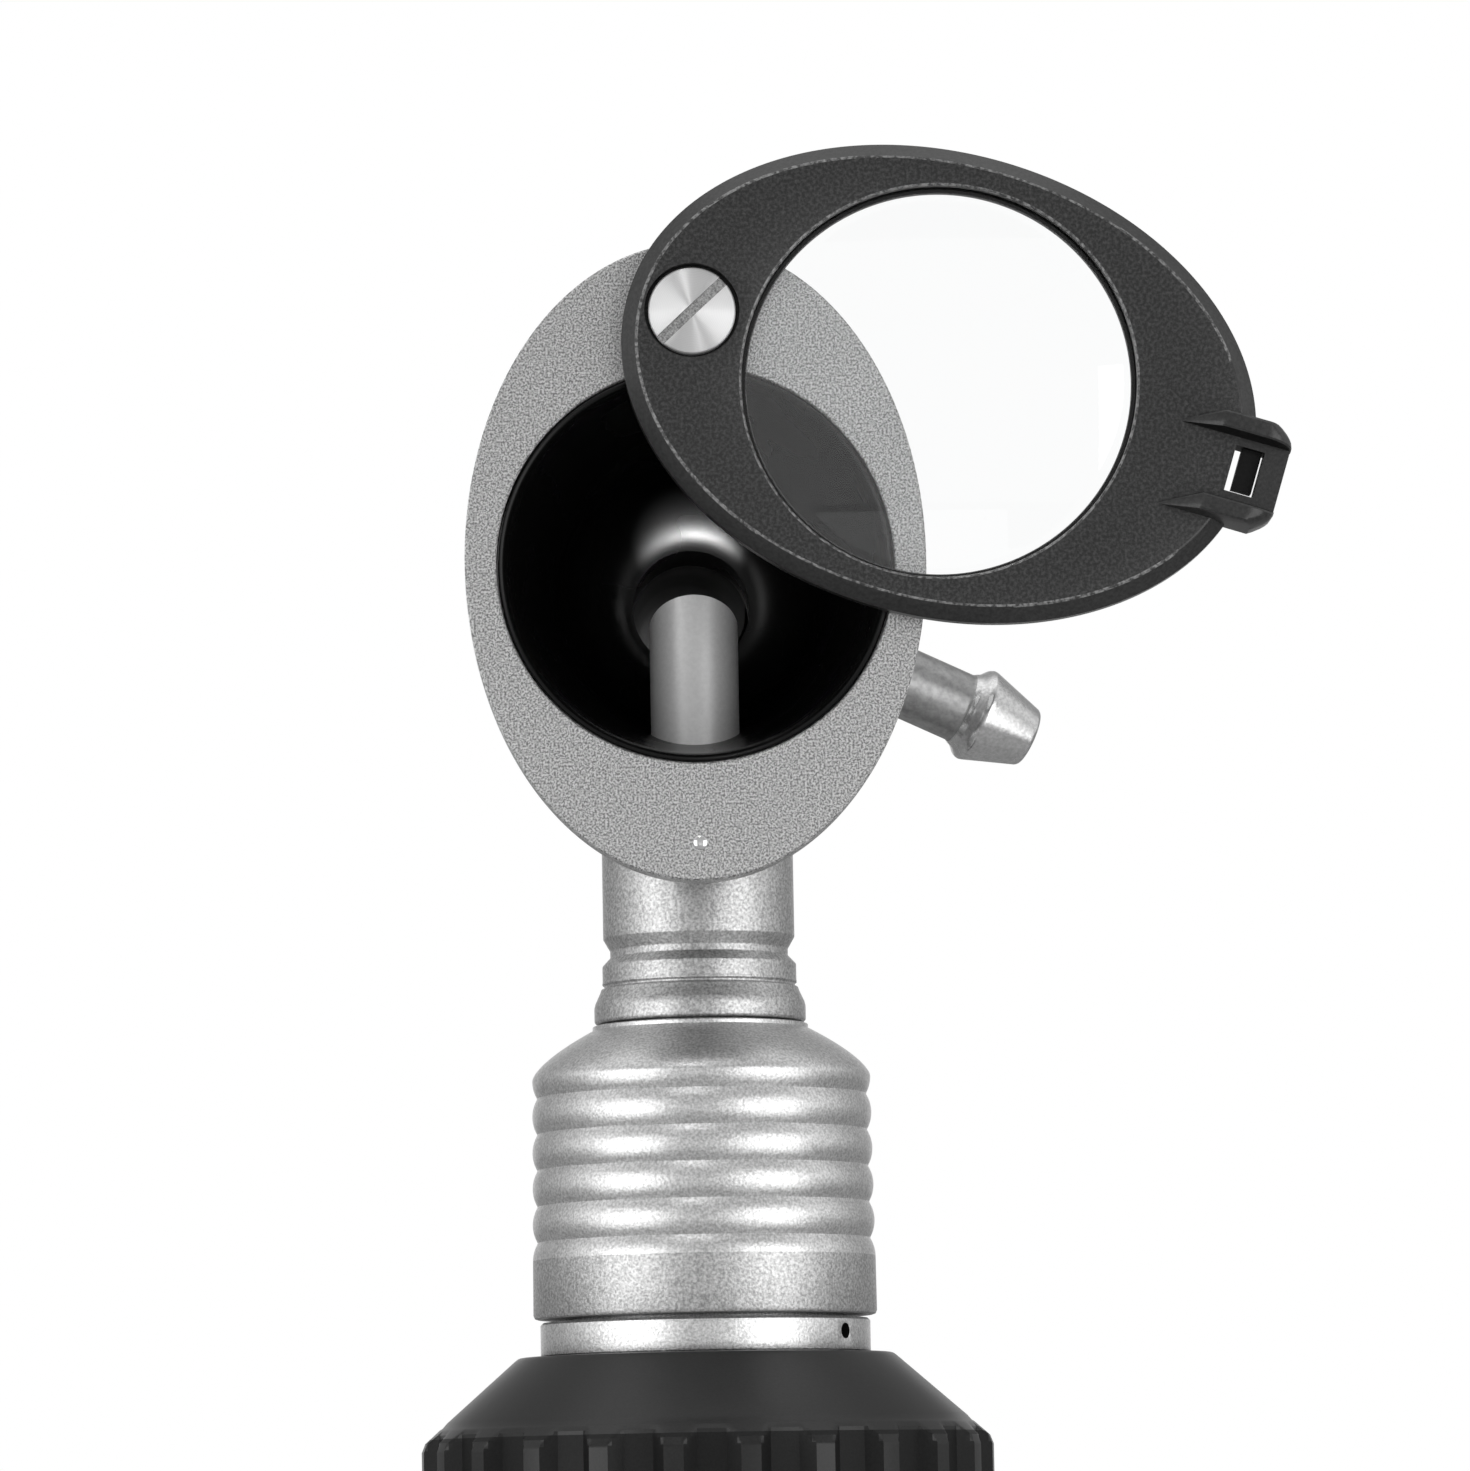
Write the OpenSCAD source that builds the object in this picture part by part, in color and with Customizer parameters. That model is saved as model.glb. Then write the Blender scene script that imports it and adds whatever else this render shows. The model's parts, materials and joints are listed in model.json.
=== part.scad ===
// Otoscope on a two-cell battery handle, with its viewing window swung open.
// The handle stands on its end cap at z = 0 and its axis is the Z axis.
// The rear plate and the window face -Y, and the ear speculum points to +Y.

/* [Rear plate] */
// Half width of the oval rear plate
plate_a = 13.2; // [12.9:0.1:14.5]
// Half height of the oval rear plate
plate_b = 18.4; // [17.8:0.1:20]
// Thickness of the rear plate
plate_t = 2; // [1.6:0.1:2.4]
// Radius of the round viewing opening in the plate
opening_r = 11.4; // [10.8:0.1:11.6]
// Distance of the plate's rear face behind the handle axis
plate_back = 12; // [11:0.25:13]
// Height of the window's pivot above the plate's centre
pivot_up = 14.1; // [14:0.1:15]
// Diameter of the small snap pip that holds the window shut
pip_d = 0.9; // [0.6:0.1:1.2]

/* [Viewing funnel] */
// Depth of the funnel from the rear face to its small end
funnel_depth = 28; // [26:0.5:32]
// Inside radius of the funnel's small end
small_r = 3.5; // [3.4:0.1:3.8]
// Fullness of the funnel's curve, 1 is a straight cone
fullness = 1.6; // [1.4:0.1:2]
// Depth over which the liner rounds in to its end wall
bowl_len = 4.1; // [3.6:0.1:4.6]
// Thickness of the liner's end wall round the small hole
bowl_back = 3.9; // [3:0.1:4.5]
// Upward tilt of the funnel's axis in degrees
funnel_tilt = 2.2; // [0:0.1:3]
// Wall of the black funnel liner
liner_t = 0.6; // [0.5:0.05:0.7]
// Wall of the metal head casting around the liner
shell_t = 1; // [0.8:0.1:1.2]

/* [Speculum and its seat] */
// Length of the tapered seat that the speculum pushes on to
seat_len = 7; // [6:0.5:8]
// Radius of the seat at its free end
seat_end_r = 4.9; // [4.8:0.05:5.1]
// How much wider the seat is at its root
seat_taper = 0.5; // [0.4:0.05:0.6]
// Length of the ear speculum
speculum_len = 36; // [32:1:40]
// Bore radius at the speculum's tip
speculum_tip_r = 2; // [1.5:0.1:2.5]
// Wall of the speculum
speculum_wall = 0.6; // [0.5:0.05:0.8]

/* [Lens window] */
// Half length of the oval lens frame
frame_a = 18.5; // [18.2:0.1:19.5]
// Half width of the oval lens frame
frame_b = 13.4; // [13.1:0.1:14.5]
// Thickness of the lens frame
frame_t = 1.9; // [1.8:0.1:2.4]
// Width of the bevel round the frame's rim
frame_bevel = 0.85; // [0.5:0.05:1]
// Distance from the pivot to the centre of the lens
lens_off = 14.7; // [14.7:0.05:15]
// Radius of the clear lens opening
lens_hole_r = 11.3; // [10.8:0.1:11.3]
// Running gap between the lens frame and the plate
frame_gap = 0.3; // [0.28:0.02:0.5]
// Angle that the window is swung open from shut
open_angle = 73.1; // [60:0.1:100]
// Height of the grip ribs above the frame's face
grip_h = 1.3; // [0.8:0.1:1.6]
// Outside width of the grip tab
grip_w = 6.3; // [5.8:0.1:7]

/* [Pivot screw] */
// Radius of the slotted screw head
screw_head_r = 2.5; // [2.2:0.05:2.55]
// Radius of the screw's shank
screw_r = 1.4; // [1.2:0.1:1.5]
// Width of the screwdriver slot
slot_w = 0.6; // [0.4:0.1:0.8]

/* [Neck and lamp] */
// Radius of the turned metal neck
neck_r = 5.6; // [5.4:0.1:6]
// Height of the plate's centre above the foot of the neck
neck_h = 25.7; // [25:0.1:28]
// Radius of the steel lamp tube
lamp_tube_r = 2.6; // [2.5:0.05:2.8]
// Wall of the lamp tube
lamp_tube_wall = 0.35; // [0.3:0.05:0.4]
// Height of the lamp tube's top below the plate's centre
lamp_drop = 0.7; // [0.5:0.1:1.5]
// Slope of the tube's cut top in degrees
lamp_mitre = 33; // [30:1:40]

/* [Insufflation port] */
// Distance of the port's tip from the funnel axis
port_reach = 22.4; // [21.5:0.1:24]
// Angle of the port below level in degrees
port_down = 22.8; // [18:0.2:28]
// Angle that the port leans to the front in degrees
port_lean = 14; // [8:1:16]
// Radius of the port's plain stem
port_stem_r = 2.1; // [1.9:0.05:2.3]
// Radius of the barb at its widest
port_barb_r = 2.85; // [2.6:0.05:3.1]
// Radius of the air bore
port_bore_r = 1; // [0.7:0.1:1.2]

/* [Coupling collar] */
// Radius of the collar's plain band
collar_r = 10; // [9.8:0.1:10.6]
// Height of the collar
collar_h = 17; // [16.5:0.1:18]
// Height of the plain band below the ribs
collar_band_h = 3.4; // [3:0.1:3.8]
// Number of soft grip ribs round the collar
rib_count = 5; // [4:1:5]
// Spacing of the ribs
rib_pitch = 2.1; // [2:0.05:2.15]
// Depth of the troughs between the ribs
rib_depth = 0.28; // [0.15:0.01:0.4]
// Pitch of the coupling thread
coupling_pitch = 1.5; // [1:0.25:1.5]

/* [Brightness ring] */
// Radius over the ridges of the fluted ring
ring_r = 16.7; // [16.3:0.1:18]
// Height of the brightness ring
ring_h = 16.8; // [15.5:0.1:18]
// Number of ridges round the ring
ridge_count = 24; // [18:2:30]
// Height of the ridges above the valleys
ridge_h = 0.8; // [0.5:0.1:1]
// Height of the smooth cone above the ridges
cone_h = 4.2; // [4:0.1:5]
// Turn of the ring from off to full brightness in degrees
sweep = 240; // [200:5:280]
// Radius of the narrow metal ring above it
seat_ring_r = 9.6; // [9.4:0.1:9.7]
// Diameter of the small pin spanner hole in that ring
spanner_d = 0.9; // [0.7:0.1:1]

/* [Battery handle] */
// Radius of one battery cell
cell_r = 13.1; // [12.8:0.1:13.3]
// Length of one battery cell with its button
cell_len = 50; // [48:0.5:51]
// Wall of the handle barrel
barrel_wall = 1.2; // [1:0.1:1.5]
// Wall of the insulating sleeve inside the barrel
sleeve_t = 0.3; // [0.2:0.05:0.4]
// Visible height of the end cap
cap_h = 14; // [12:0.5:18]
// Length of the end cap's thread
cap_thread_h = 6; // [5:0.5:8]
// Pitch of the end cap's thread, which sets how far it drops as it turns
cap_pitch = 2; // [1.5:0.25:2]
// Wire diameter of the battery spring
spring_wire = 0.9; // [0.7:0.1:1]

/* [Hidden] */
$fn = 96;

// Close fit between pieces that are pushed or screwed together
fit = 0.05;
// Running clearance of a shaft or thread that turns
run = 0.08;
// Small overlap that keeps cuts clean
eps = 0.01;

// Heights up the handle
cell_z = cap_h + cap_thread_h + 0.5;
cells_top = cell_z + 2 * cell_len;
contact_t = 0.8;
plug_h = 6.7;
barrel_top = cells_top + contact_t + plug_h;
ring_gap = 0.2;
ring_z = barrel_top + ring_gap;
ring_top = ring_z + ring_h;
seat_ring_z = ring_top + 0.1;
seat_ring_h = 1.9;
collar_z = seat_ring_z + seat_ring_h + 0.2;
collar_top = collar_z + collar_h;
neck_z = collar_top + 0.12;
plate_z = neck_z + neck_h;

// Handle radii, outwards from the cells
sleeve_r = cell_r + 0.15 + sleeve_t;
barrel_in_r = sleeve_r + fit;
barrel_r = barrel_in_r + barrel_wall;

// Funnel profile, measured along its axis from the plate's rear face
opening_drop = 0.25;
mouth_in = 0.3;
liner_rim_r = opening_r - 0.12;
mouth_r = liner_rim_r - liner_t + 0.05;
mouth_s = mouth_in + 0.6;
liner_end = funnel_depth - 4.5;
bowl_end = liner_end - bowl_back;
bowl_start = bowl_end - bowl_len;
function funnel_r(s) = small_r + (mouth_r - small_r)
    * (1 - pow(min(1, max(0, (s - mouth_s) / (funnel_depth - mouth_s))), fullness));
funnel_steps = 14;

// Neck, collar and coupling
spigot_r = neck_r - 0.3;
spigot_len = 7.6;
lip_h = 2.6;
clip_t = 0.8;
clip_r = spigot_r + 1.3;
clip_room_h = 2.6;
thread_r = spigot_r + 2.7;
rod_r = 0.75;
rod_end_z = neck_z - spigot_len + 0.4;

// Brightness ring and what it turns on
hub_r = seat_ring_r - 0.6;
valley_r = ring_r - ridge_h;
ring_wall = 1.3;
web_t = 3.6;
web_z = ring_top - web_t;
hub_step_r = hub_r + 0.9;
hub_step_z = web_z - 0.2;
track_r = (hub_r + valley_r) / 2;
track_w = 1.6;
former_h = 3;
winding_t = 0.8;
wiper_turn = 90;

// Contact plunger
plunger_r = 1.5;
plunger_head_z = rod_end_z - 0.1;
plunger_travel = 0.8;
guide_top = plunger_head_z - 2;
guide_r = spigot_r - 0.4;

// Draws a turned piece from its half section of [radius, height] points
module turned(points) rotate_extrude() polygon(points);

// Cuts a thread's grooves as rings, from one height up to another
module thread_grooves(radius, pitch, from, to) for (z = [from + pitch / 2:pitch:to - pitch / 2])
    translate([0, 0, z]) turned([[radius - 0.35, 0], [radius + 0.1, -0.4 * pitch], [radius + 0.1, 0.4 * pitch]]);

// Outline points of an oval with half axes a and b
function oval(a, b, n = 96) = [for (i = [0:n - 1]) [a * cos(360 * i / n), b * sin(360 * i / n)]];

// Moves to the funnel's axis, with Z running forward from the plate's rear face
module on_funnel() translate([0, -plate_back, plate_z - opening_drop])
    rotate([-90 + funnel_tilt, 0, 0]) children();

// Moves to the port's axis, with Z running outward from the funnel's axis
port_s = plate_back + 2;
module on_port() translate([0, 2, plate_z - opening_drop + port_s * sin(funnel_tilt)])
    rotate([0, 90 + port_down, port_lean]) children();

// Moves to the window's pivot, with X along the frame and Z out of its face
module on_pivot() translate([0, -plate_back - frame_gap, plate_z + pivot_up])
    rotate([0, 90 - open_angle, 0]) rotate([90, 0, 0]) children();

// Solid inside of the funnel, grown outwards by a wall, up to a depth
module funnel_solid(grow, from, to) turned(concat([[0, from]],
    [for (i = [0:funnel_steps]) let (s = from + (to - from) * i / funnel_steps) [funnel_r(s) + grow, s]],
    [[0, to]]));

// Everything behind the inner face of the rear plate
module behind_plate() translate([-50, -plate_back - 50 + plate_t, plate_z - 50]) cube([100, 50, 100]);

// Round wire along a coil whose radius changes from r0 to r1
module coil(r0, r1, height, wire, turns, per_turn = 14, sides = 6) {
    rings = turns * per_turn;
    path = [for (i = [0:rings]) let (t = i / rings, a = 360 * i / per_turn)
        [(r0 + (r1 - r0) * t) * cos(a), (r0 + (r1 - r0) * t) * sin(a),
         wire / 2 + (height - wire) * t, a]];
    points = [for (p = path) for (k = [0:sides - 1]) let (b = 360 * k / sides)
        [p[0] + wire / 2 * cos(b) * cos(p[3]), p[1] + wire / 2 * cos(b) * sin(p[3]),
         p[2] + wire / 2 * sin(b)]];
    walls = [for (i = [0:rings - 1]) for (k = [0:sides - 1])
        [i * sides + k, (i + 1) * sides + k, (i + 1) * sides + (k + 1) % sides, i * sides + (k + 1) % sides]];
    ends = [[for (k = [0:sides - 1]) k], [for (k = [sides - 1:-1:0]) rings * sides + k]];
    polyhedron(points, concat(walls, ends), convexity = 10);
}

// Oval metal plate with the viewing opening and the tapped pivot hole
module rear_plate() color("#a9a9a9") difference() {
    translate([0, -plate_back + plate_t, plate_z]) rotate([90, 0, 0])
        linear_extrude(plate_t) polygon(oval(plate_a, plate_b));
    translate([0, -plate_back + plate_t + 1, plate_z - opening_drop]) rotate([90, 0, 0])
        cylinder(r = opening_r, h = plate_t + 2);
    translate([0, -plate_back + plate_t + 1, plate_z + pivot_up]) rotate([90, 0, 0])
        cylinder(r = screw_r + fit, h = plate_t + 2);
    on_pip() translate([0, 0, -1]) cylinder(d = pip_d - 0.2 + 2 * fit, h = 2);
}

// Moves to the snap pip, with Z out of the plate's rear face
pip_down = (opening_r + opening_drop + plate_b) / 2 + 1.2;
module on_pip() translate([0, -plate_back, plate_z - pip_down]) rotate([90, 0, 0]) children();

// Domed steel pip pressed into the plate below the opening
pip_h = frame_gap - 0.08;
module snap_pip() color("#e2e2e2") on_pip() turned([[0, -0.9], [pip_d / 2 - 0.1, -0.9],
    [pip_d / 2 - 0.1, 0], [pip_d / 2, 0], [pip_d * 0.4, pip_h * 0.6], [pip_d * 0.2, pip_h * 0.93], [0, pip_h]]);

// Cast metal cone with bosses for the neck and the air port
boss_drop = 14;
boss_z = plate_z - boss_drop;
neck_plug_r = neck_r - 1.2;
neck_plug_h = 2.8;
shell_end = liner_end;
port_seat = funnel_r(port_s) + liner_t + shell_t + 1.2;
module head_casting() color("#b4b4b4") difference() {
    union() {
        on_funnel() funnel_solid(liner_t + fit + shell_t, 0.5, shell_end);
        translate([0, 0, boss_z]) cylinder(r = neck_r, h = boss_drop - small_r);
        on_port() cylinder(r = port_stem_r + 1.2, h = port_seat);
    }
    behind_plate();
    on_funnel() funnel_solid(liner_t + fit, -1, shell_end + 1);
    translate([0, 0, boss_z - 1]) cylinder(r = neck_plug_r + fit, h = neck_plug_h + 1.2);
    translate([0, 0, boss_z - 1]) cylinder(r = lamp_tube_r + fit, h = boss_drop);
    on_port() cylinder(r = port_stem_r - 0.4 + fit, h = port_seat + 1);
}

// Gloss black moulded liner of the funnel, with a rounded mouth and a bowl-shaped end wall
function bowl_r(q) = small_r + (funnel_r(bowl_start) - small_r) * pow(max(0, 1 - pow(q, 2.7)), 1 / 2.7);
module funnel_liner() color("#0c0c0d") difference() {
    on_funnel() union() {
        funnel_solid(liner_t, mouth_in + 0.5, liner_end);
        translate([0, 0, mouth_in]) cylinder(r = liner_rim_r, h = plate_t);
    }
    on_funnel() turned(concat([[0, mouth_s]],
        [for (i = [0:funnel_steps]) let (s = mouth_s + (bowl_start - mouth_s) * i / funnel_steps) [funnel_r(s), s]],
        [for (i = [1:8]) let (q = sin(90 * i / 8)) [bowl_r(q), bowl_start + (bowl_end - bowl_start) * q]],
        [[small_r, funnel_depth], [0, funnel_depth]]));
    on_funnel() turned([[0, mouth_in - eps], [liner_rim_r - 0.1, mouth_in - eps],
        [liner_rim_r - 0.35, mouth_in + 0.1], [mouth_r, mouth_s], [mouth_r, mouth_s + eps], [0, mouth_s + eps]]);
    translate([0, 0, boss_z - 2]) cylinder(r = lamp_tube_r + fit, h = boss_drop);
    on_port() cylinder(r = port_bore_r + 0.2, h = port_seat);
}

// Black tapered seat screwed into the front of the casting
seat_flange_h = 1.6;
seat_s = liner_end + seat_flange_h;
seat_flange_r = funnel_r(liner_end) + liner_t + fit + shell_t;
seat_end = seat_s + seat_len;
seat_root_r = max(seat_end_r + seat_taper, funnel_r(seat_s) + 0.8);
module speculum_seat() color("#17171a") on_funnel() difference() {
    turned([[0, liner_end], [seat_flange_r, liner_end], [seat_flange_r, seat_s - 0.3],
        [seat_flange_r - 0.3, seat_s], [seat_root_r, seat_s], [seat_end_r, seat_end - 0.3],
        [seat_end_r - 0.3, seat_end], [0, seat_end]]);
    funnel_solid(0, liner_end - 1, funnel_depth);
    translate([0, 0, liner_end]) cylinder(r = small_r, h = seat_end);
}

// Ear speculum, a slim black cone that pulls off the seat
spec_s = seat_s + 0.3;
spec_tip = spec_s + speculum_len;
spec_bell = seat_end + 1;
spec_mouth_r = seat_root_r + run;
spec_step_r = seat_end_r + run;
spec_waist = spec_bell + (spec_tip - spec_bell) * 0.45;
spec_waist_r = speculum_tip_r + (spec_step_r - speculum_tip_r) * 0.42;
module ear_speculum() color("#121214") on_funnel() difference() {
    turned([[0, spec_s], [spec_mouth_r + 1.6, spec_s], [spec_mouth_r + 1.6, spec_s + 1],
        [spec_mouth_r + speculum_wall + 0.2, spec_s + 1.3],
        [spec_step_r + speculum_wall + 0.2, spec_bell],
        [spec_waist_r + speculum_wall, spec_waist],
        [speculum_tip_r + speculum_wall, spec_tip - 0.5],
        [speculum_tip_r + speculum_wall * 0.4, spec_tip], [0, spec_tip]]);
    turned([[0, spec_s - 1], [spec_mouth_r, spec_s - 1], [spec_mouth_r, spec_s - 0.3],
        [spec_step_r, seat_end - 0.3], [spec_step_r, seat_end + 0.3], [spec_step_r - 0.4, spec_bell],
        [spec_waist_r, spec_waist], [speculum_tip_r, spec_tip - 0.8],
        [speculum_tip_r, spec_tip + 1], [0, spec_tip + 1]]);
}

// Turned neck with its groove, foot flange and the spigot that the collar runs on
foot_h = 2.2;
groove_at = 3.4;
groove_d = 0.4;
module neck() color("#c2c2c2") translate([0, 0, neck_z]) difference() {
    turned([[0, -spigot_len], [spigot_r - 0.3, -spigot_len], [spigot_r, -spigot_len + 0.3],
        [spigot_r, -lip_h - clip_t - 0.4], [spigot_r - 0.6, -lip_h - clip_t - 0.4],
        [spigot_r - 0.6, -lip_h - 0.3], [spigot_r, -lip_h - 0.3],
        [spigot_r, 0], [neck_r + 0.45, 0], [neck_r + 0.58, 0.15], [neck_r + 0.58, 0.95],
        [neck_r + 0.52, 1.2], [neck_r + 0.38, 1.5], [neck_r + 0.18, 1.9], [neck_r + 0.07, foot_h],
        [neck_r + 0.07, groove_at], [neck_r - groove_d, groove_at + 0.5],
        [neck_r - groove_d, groove_at + 0.9], [neck_r, groove_at + 1.6],
        [neck_r, boss_z - neck_z], [neck_plug_r, boss_z - neck_z],
        [neck_plug_r, boss_z - neck_z + neck_plug_h], [0, boss_z - neck_z + neck_plug_h]]);
    translate([0, 0, -spigot_len - 1]) cylinder(r = lamp_tube_r + fit, h = neck_h + spigot_len);
}

// Steel lamp tube, cut at a slant so that the light goes forward
lamp_top = plate_z - lamp_drop;
tube_foot = neck_z - 1;
module lamp_tube() color("#cfcfcf") difference() {
    translate([0, 0, tube_foot]) cylinder(r = lamp_tube_r, h = lamp_top - tube_foot);
    translate([0, 0, tube_foot - 1]) cylinder(r = lamp_tube_r - lamp_tube_wall, h = lamp_top - tube_foot + 2);
    translate([0, -lamp_tube_r, lamp_top]) rotate([-lamp_mitre, 0, 0]) translate([-5, -5, 0]) cube([10, 25, 10]);
}

// Small lens-ended bulb, its brass base and the insulator below it
bulb_r = lamp_tube_r - lamp_tube_wall - 0.35;
base_r = lamp_tube_r - lamp_tube_wall - fit;
bulb_top = lamp_top - 2 * lamp_tube_r * tan(lamp_mitre) + 1.2;
bulb_len = 5.2;
base_len = 8;
base_z = bulb_top - bulb_len - base_len;
module lamp_bulb() color("#e8e8e0", 0.5) translate([0, 0, bulb_top - bulb_len])
    turned([[0, 0], [bulb_r, 0], [bulb_r, bulb_len - 1.6], [bulb_r * 0.92, bulb_len - 0.9],
        [bulb_r * 0.7, bulb_len - 0.35], [bulb_r * 0.36, bulb_len - 0.06], [0, bulb_len]]);
module lamp_base() color("#b08d43") translate([0, 0, base_z]) turned([[0, 0], [base_r - 0.3, 0],
    [base_r, 0.3], [base_r, base_len - 0.8], [base_r - 0.25, base_len], [0, base_len]]);
module lamp_insulator() color("#d9d2bd") translate([0, 0, tube_foot - 1.2]) difference() {
    cylinder(r = base_r, h = base_z - tube_foot + 1.2);
    translate([0, 0, -1]) cylinder(r = rod_r + fit, h = base_z - tube_foot + 4);
}
module contact_rod() color("#b9974e") translate([0, 0, rod_end_z]) turned([[0, 0], [rod_r + 0.5, 0],
    [rod_r + 0.5, 0.8], [rod_r, 0.8], [rod_r, base_z - rod_end_z], [0, base_z - rod_end_z]]);

// Barbed hose nipple for blowing air into the funnel
barb_s = port_reach - 3.4;
module insufflation_port() color("#c6c6c6") difference() {
    on_port() turned([[0, 6], [port_stem_r - 0.4, 6], [port_stem_r - 0.4, port_seat],
        [port_stem_r + 0.7, port_seat], [port_stem_r + 0.7, port_seat + 0.8], [port_stem_r, port_seat + 0.8],
        [port_stem_r, barb_s - 1.15], [port_barb_r - 0.1, barb_s - 0.4], [port_barb_r, barb_s],
        [port_stem_r - 0.3, port_reach - 0.15], [port_stem_r - 0.45, port_reach], [0, port_reach]]);
    on_funnel() funnel_solid(liner_t + fit, 0, funnel_depth);
    on_port() cylinder(r = port_bore_r, h = port_reach + 1);
}

// Slotted shoulder screw that the window turns on
head_t = 0.9;
head_sink = 0.05;
module pivot_screw() color("#dedede") difference() {
    translate([0, -plate_back - frame_gap, plate_z + pivot_up]) rotate([90, 0, 0]) union() {
        translate([0, 0, -frame_gap - plate_t + 0.2]) cylinder(r = screw_r, h = frame_t + frame_gap + plate_t - 0.5);
        translate([0, 0, frame_t - head_sink - head_t]) turned([[0, 0], [screw_head_r, 0],
            [screw_head_r, head_t - 0.12], [screw_head_r - 0.12, head_t], [0, head_t]]);
    }
    translate([0, -plate_back - frame_gap - frame_t, plate_z + pivot_up]) rotate([0, -42.7, 0])
        translate([-5, -1, -slot_w / 2]) cube([10, 1 + head_sink + 0.5, slot_w]);
}

// Thin spring washer in the gap behind the window
module spring_washer() color("#9a9a9a") translate([0, -plate_back, plate_z + pivot_up]) rotate([90, 0, 0])
    translate([0, 0, eps]) difference() {
        cylinder(r = screw_head_r - 0.1, h = frame_gap - 2 * eps);
        translate([0, 0, -1]) cylinder(r = screw_r + run, h = frame_gap + 2);
    }

// Moulded lens frame with its bevelled rim, grip ribs and small window
lens_r = lens_hole_r + 0.3;
lens_edge_t = 0.8;
keeper_t = 0.5;
head_room = 0.22;
grip_start = lens_off + frame_a - 4.8;
grip_end = lens_off + frame_a + 1.9;
grip_drop = 0.25;
grip_window_l = 1.7;
grip_window_w = 2.7;
grip_window_x = grip_end - 3.1;
rib_w = 1.35;
nose_r = 1.5;
module grip_rib() rotate([90, 0, 0]) linear_extrude(rib_w) polygon(concat(
    [[grip_start, 0], [grip_start, frame_t - 0.1], [grip_start + 2.6, frame_t + grip_h]],
    [for (a = [90:-15:0]) [grip_end - nose_r + nose_r * cos(a), frame_t + grip_h - nose_r + nose_r * sin(a)]],
    [[grip_end, 0]]));
// Each rib starts in a point at its lower edge and widens along its upper edge
module rib_start(y) translate([0, 0, frame_t]) linear_extrude(grip_h + 1) polygon([[grip_start - 1, y],
    [grip_start, y], [grip_start + 2.2, y + rib_w + 0.05], [grip_start + 2.2, y + rib_w + 0.6],
    [grip_start - 1, y + rib_w + 0.6]]);
// The grip's two outer corners are cut off
module grip_corner() translate([0, 0, -1]) linear_extrude(frame_t + grip_h + 2)
    polygon([[grip_end - 1.1, grip_w / 2 + 0.01], [grip_end + 0.01, grip_w / 2 - 0.9], [grip_end + 1, grip_w / 2 + 1]]);
// Snap tongue inside the grip's window, free on three sides
module snap_tongue() translate([grip_window_x + 0.4, 0.3 - grip_window_w / 2, 0.3])
    cube([grip_window_l - 0.65, grip_window_w - 0.3 + eps, 1]);
module lens_frame() color("#29292b") on_pivot() difference() {
    union() {
        hull() {
            translate([lens_off, 0, 0]) linear_extrude(frame_t - 0.9) polygon(oval(frame_a, frame_b));
            translate([lens_off, 0, 0]) linear_extrude(frame_t) polygon(oval(frame_a - frame_bevel, frame_b - frame_bevel));
        }
        translate([0, grip_w / 2 - grip_drop, 0]) grip_rib();
        translate([0, rib_w - grip_w / 2 - grip_drop, 0]) grip_rib();
        translate([grip_start + 1.5, -grip_w / 2 - grip_drop, 0])
            cube([grip_end - grip_start - 1.5, grip_w, frame_t]);
    }
    translate([0, -grip_drop, 0]) {
        rib_start(grip_w / 2 - rib_w);
        rib_start(-grip_w / 2);
        grip_corner();
        mirror([0, 1, 0]) grip_corner();
        difference() {
            translate([grip_window_x, -grip_window_w / 2, -1]) cube([grip_window_l, grip_window_w, frame_t + 3]);
            snap_tongue();
        }
    }
    translate([lens_off, 0, -1]) cylinder(r = lens_hole_r, h = frame_t + 2 + grip_h);
    translate([lens_off, 0, -1]) cylinder(r = lens_r + fit, h = 1 + keeper_t + lens_edge_t);
    translate([0, 0, -1]) cylinder(r = screw_r + run, h = frame_t + 2);
    translate([0, 0, frame_t - head_sink - head_t - 0.03]) cylinder(r = screw_head_r + head_room, h = head_t + 1);
    translate([pivot_up + pip_down, 0, -1]) cylinder(d = pip_d + 0.4, h = 1.15);
}

// Magnifying lens, bulged more to the outside than to the plate
bulge_out = 0.9;
bulge_in = 0.3;
bulge_r = lens_hole_r - 0.4;
lens_steps = 8;
module lens() color("#dfe8ea", 0.35) on_pivot() translate([lens_off, 0, keeper_t])
    turned(concat(
        [for (i = [0:lens_steps]) let (q = i / lens_steps) [bulge_r * q, -bulge_in * (1 - q * q)]],
        [[lens_r, 0], [lens_r, lens_edge_t]],
        [for (i = [lens_steps:-1:0]) let (q = i / lens_steps)
            [bulge_r * q, lens_edge_t + bulge_out * (1 - q * q)]]));

// Snap ring that keeps the lens in its rebate
module lens_ring() color("#1b1b1d") on_pivot() translate([lens_off, 0, 0]) difference() {
    cylinder(r = lens_r, h = keeper_t);
    translate([0, 0, -1]) cylinder(r = lens_r - 0.6, h = keeper_t + 2);
}

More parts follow.
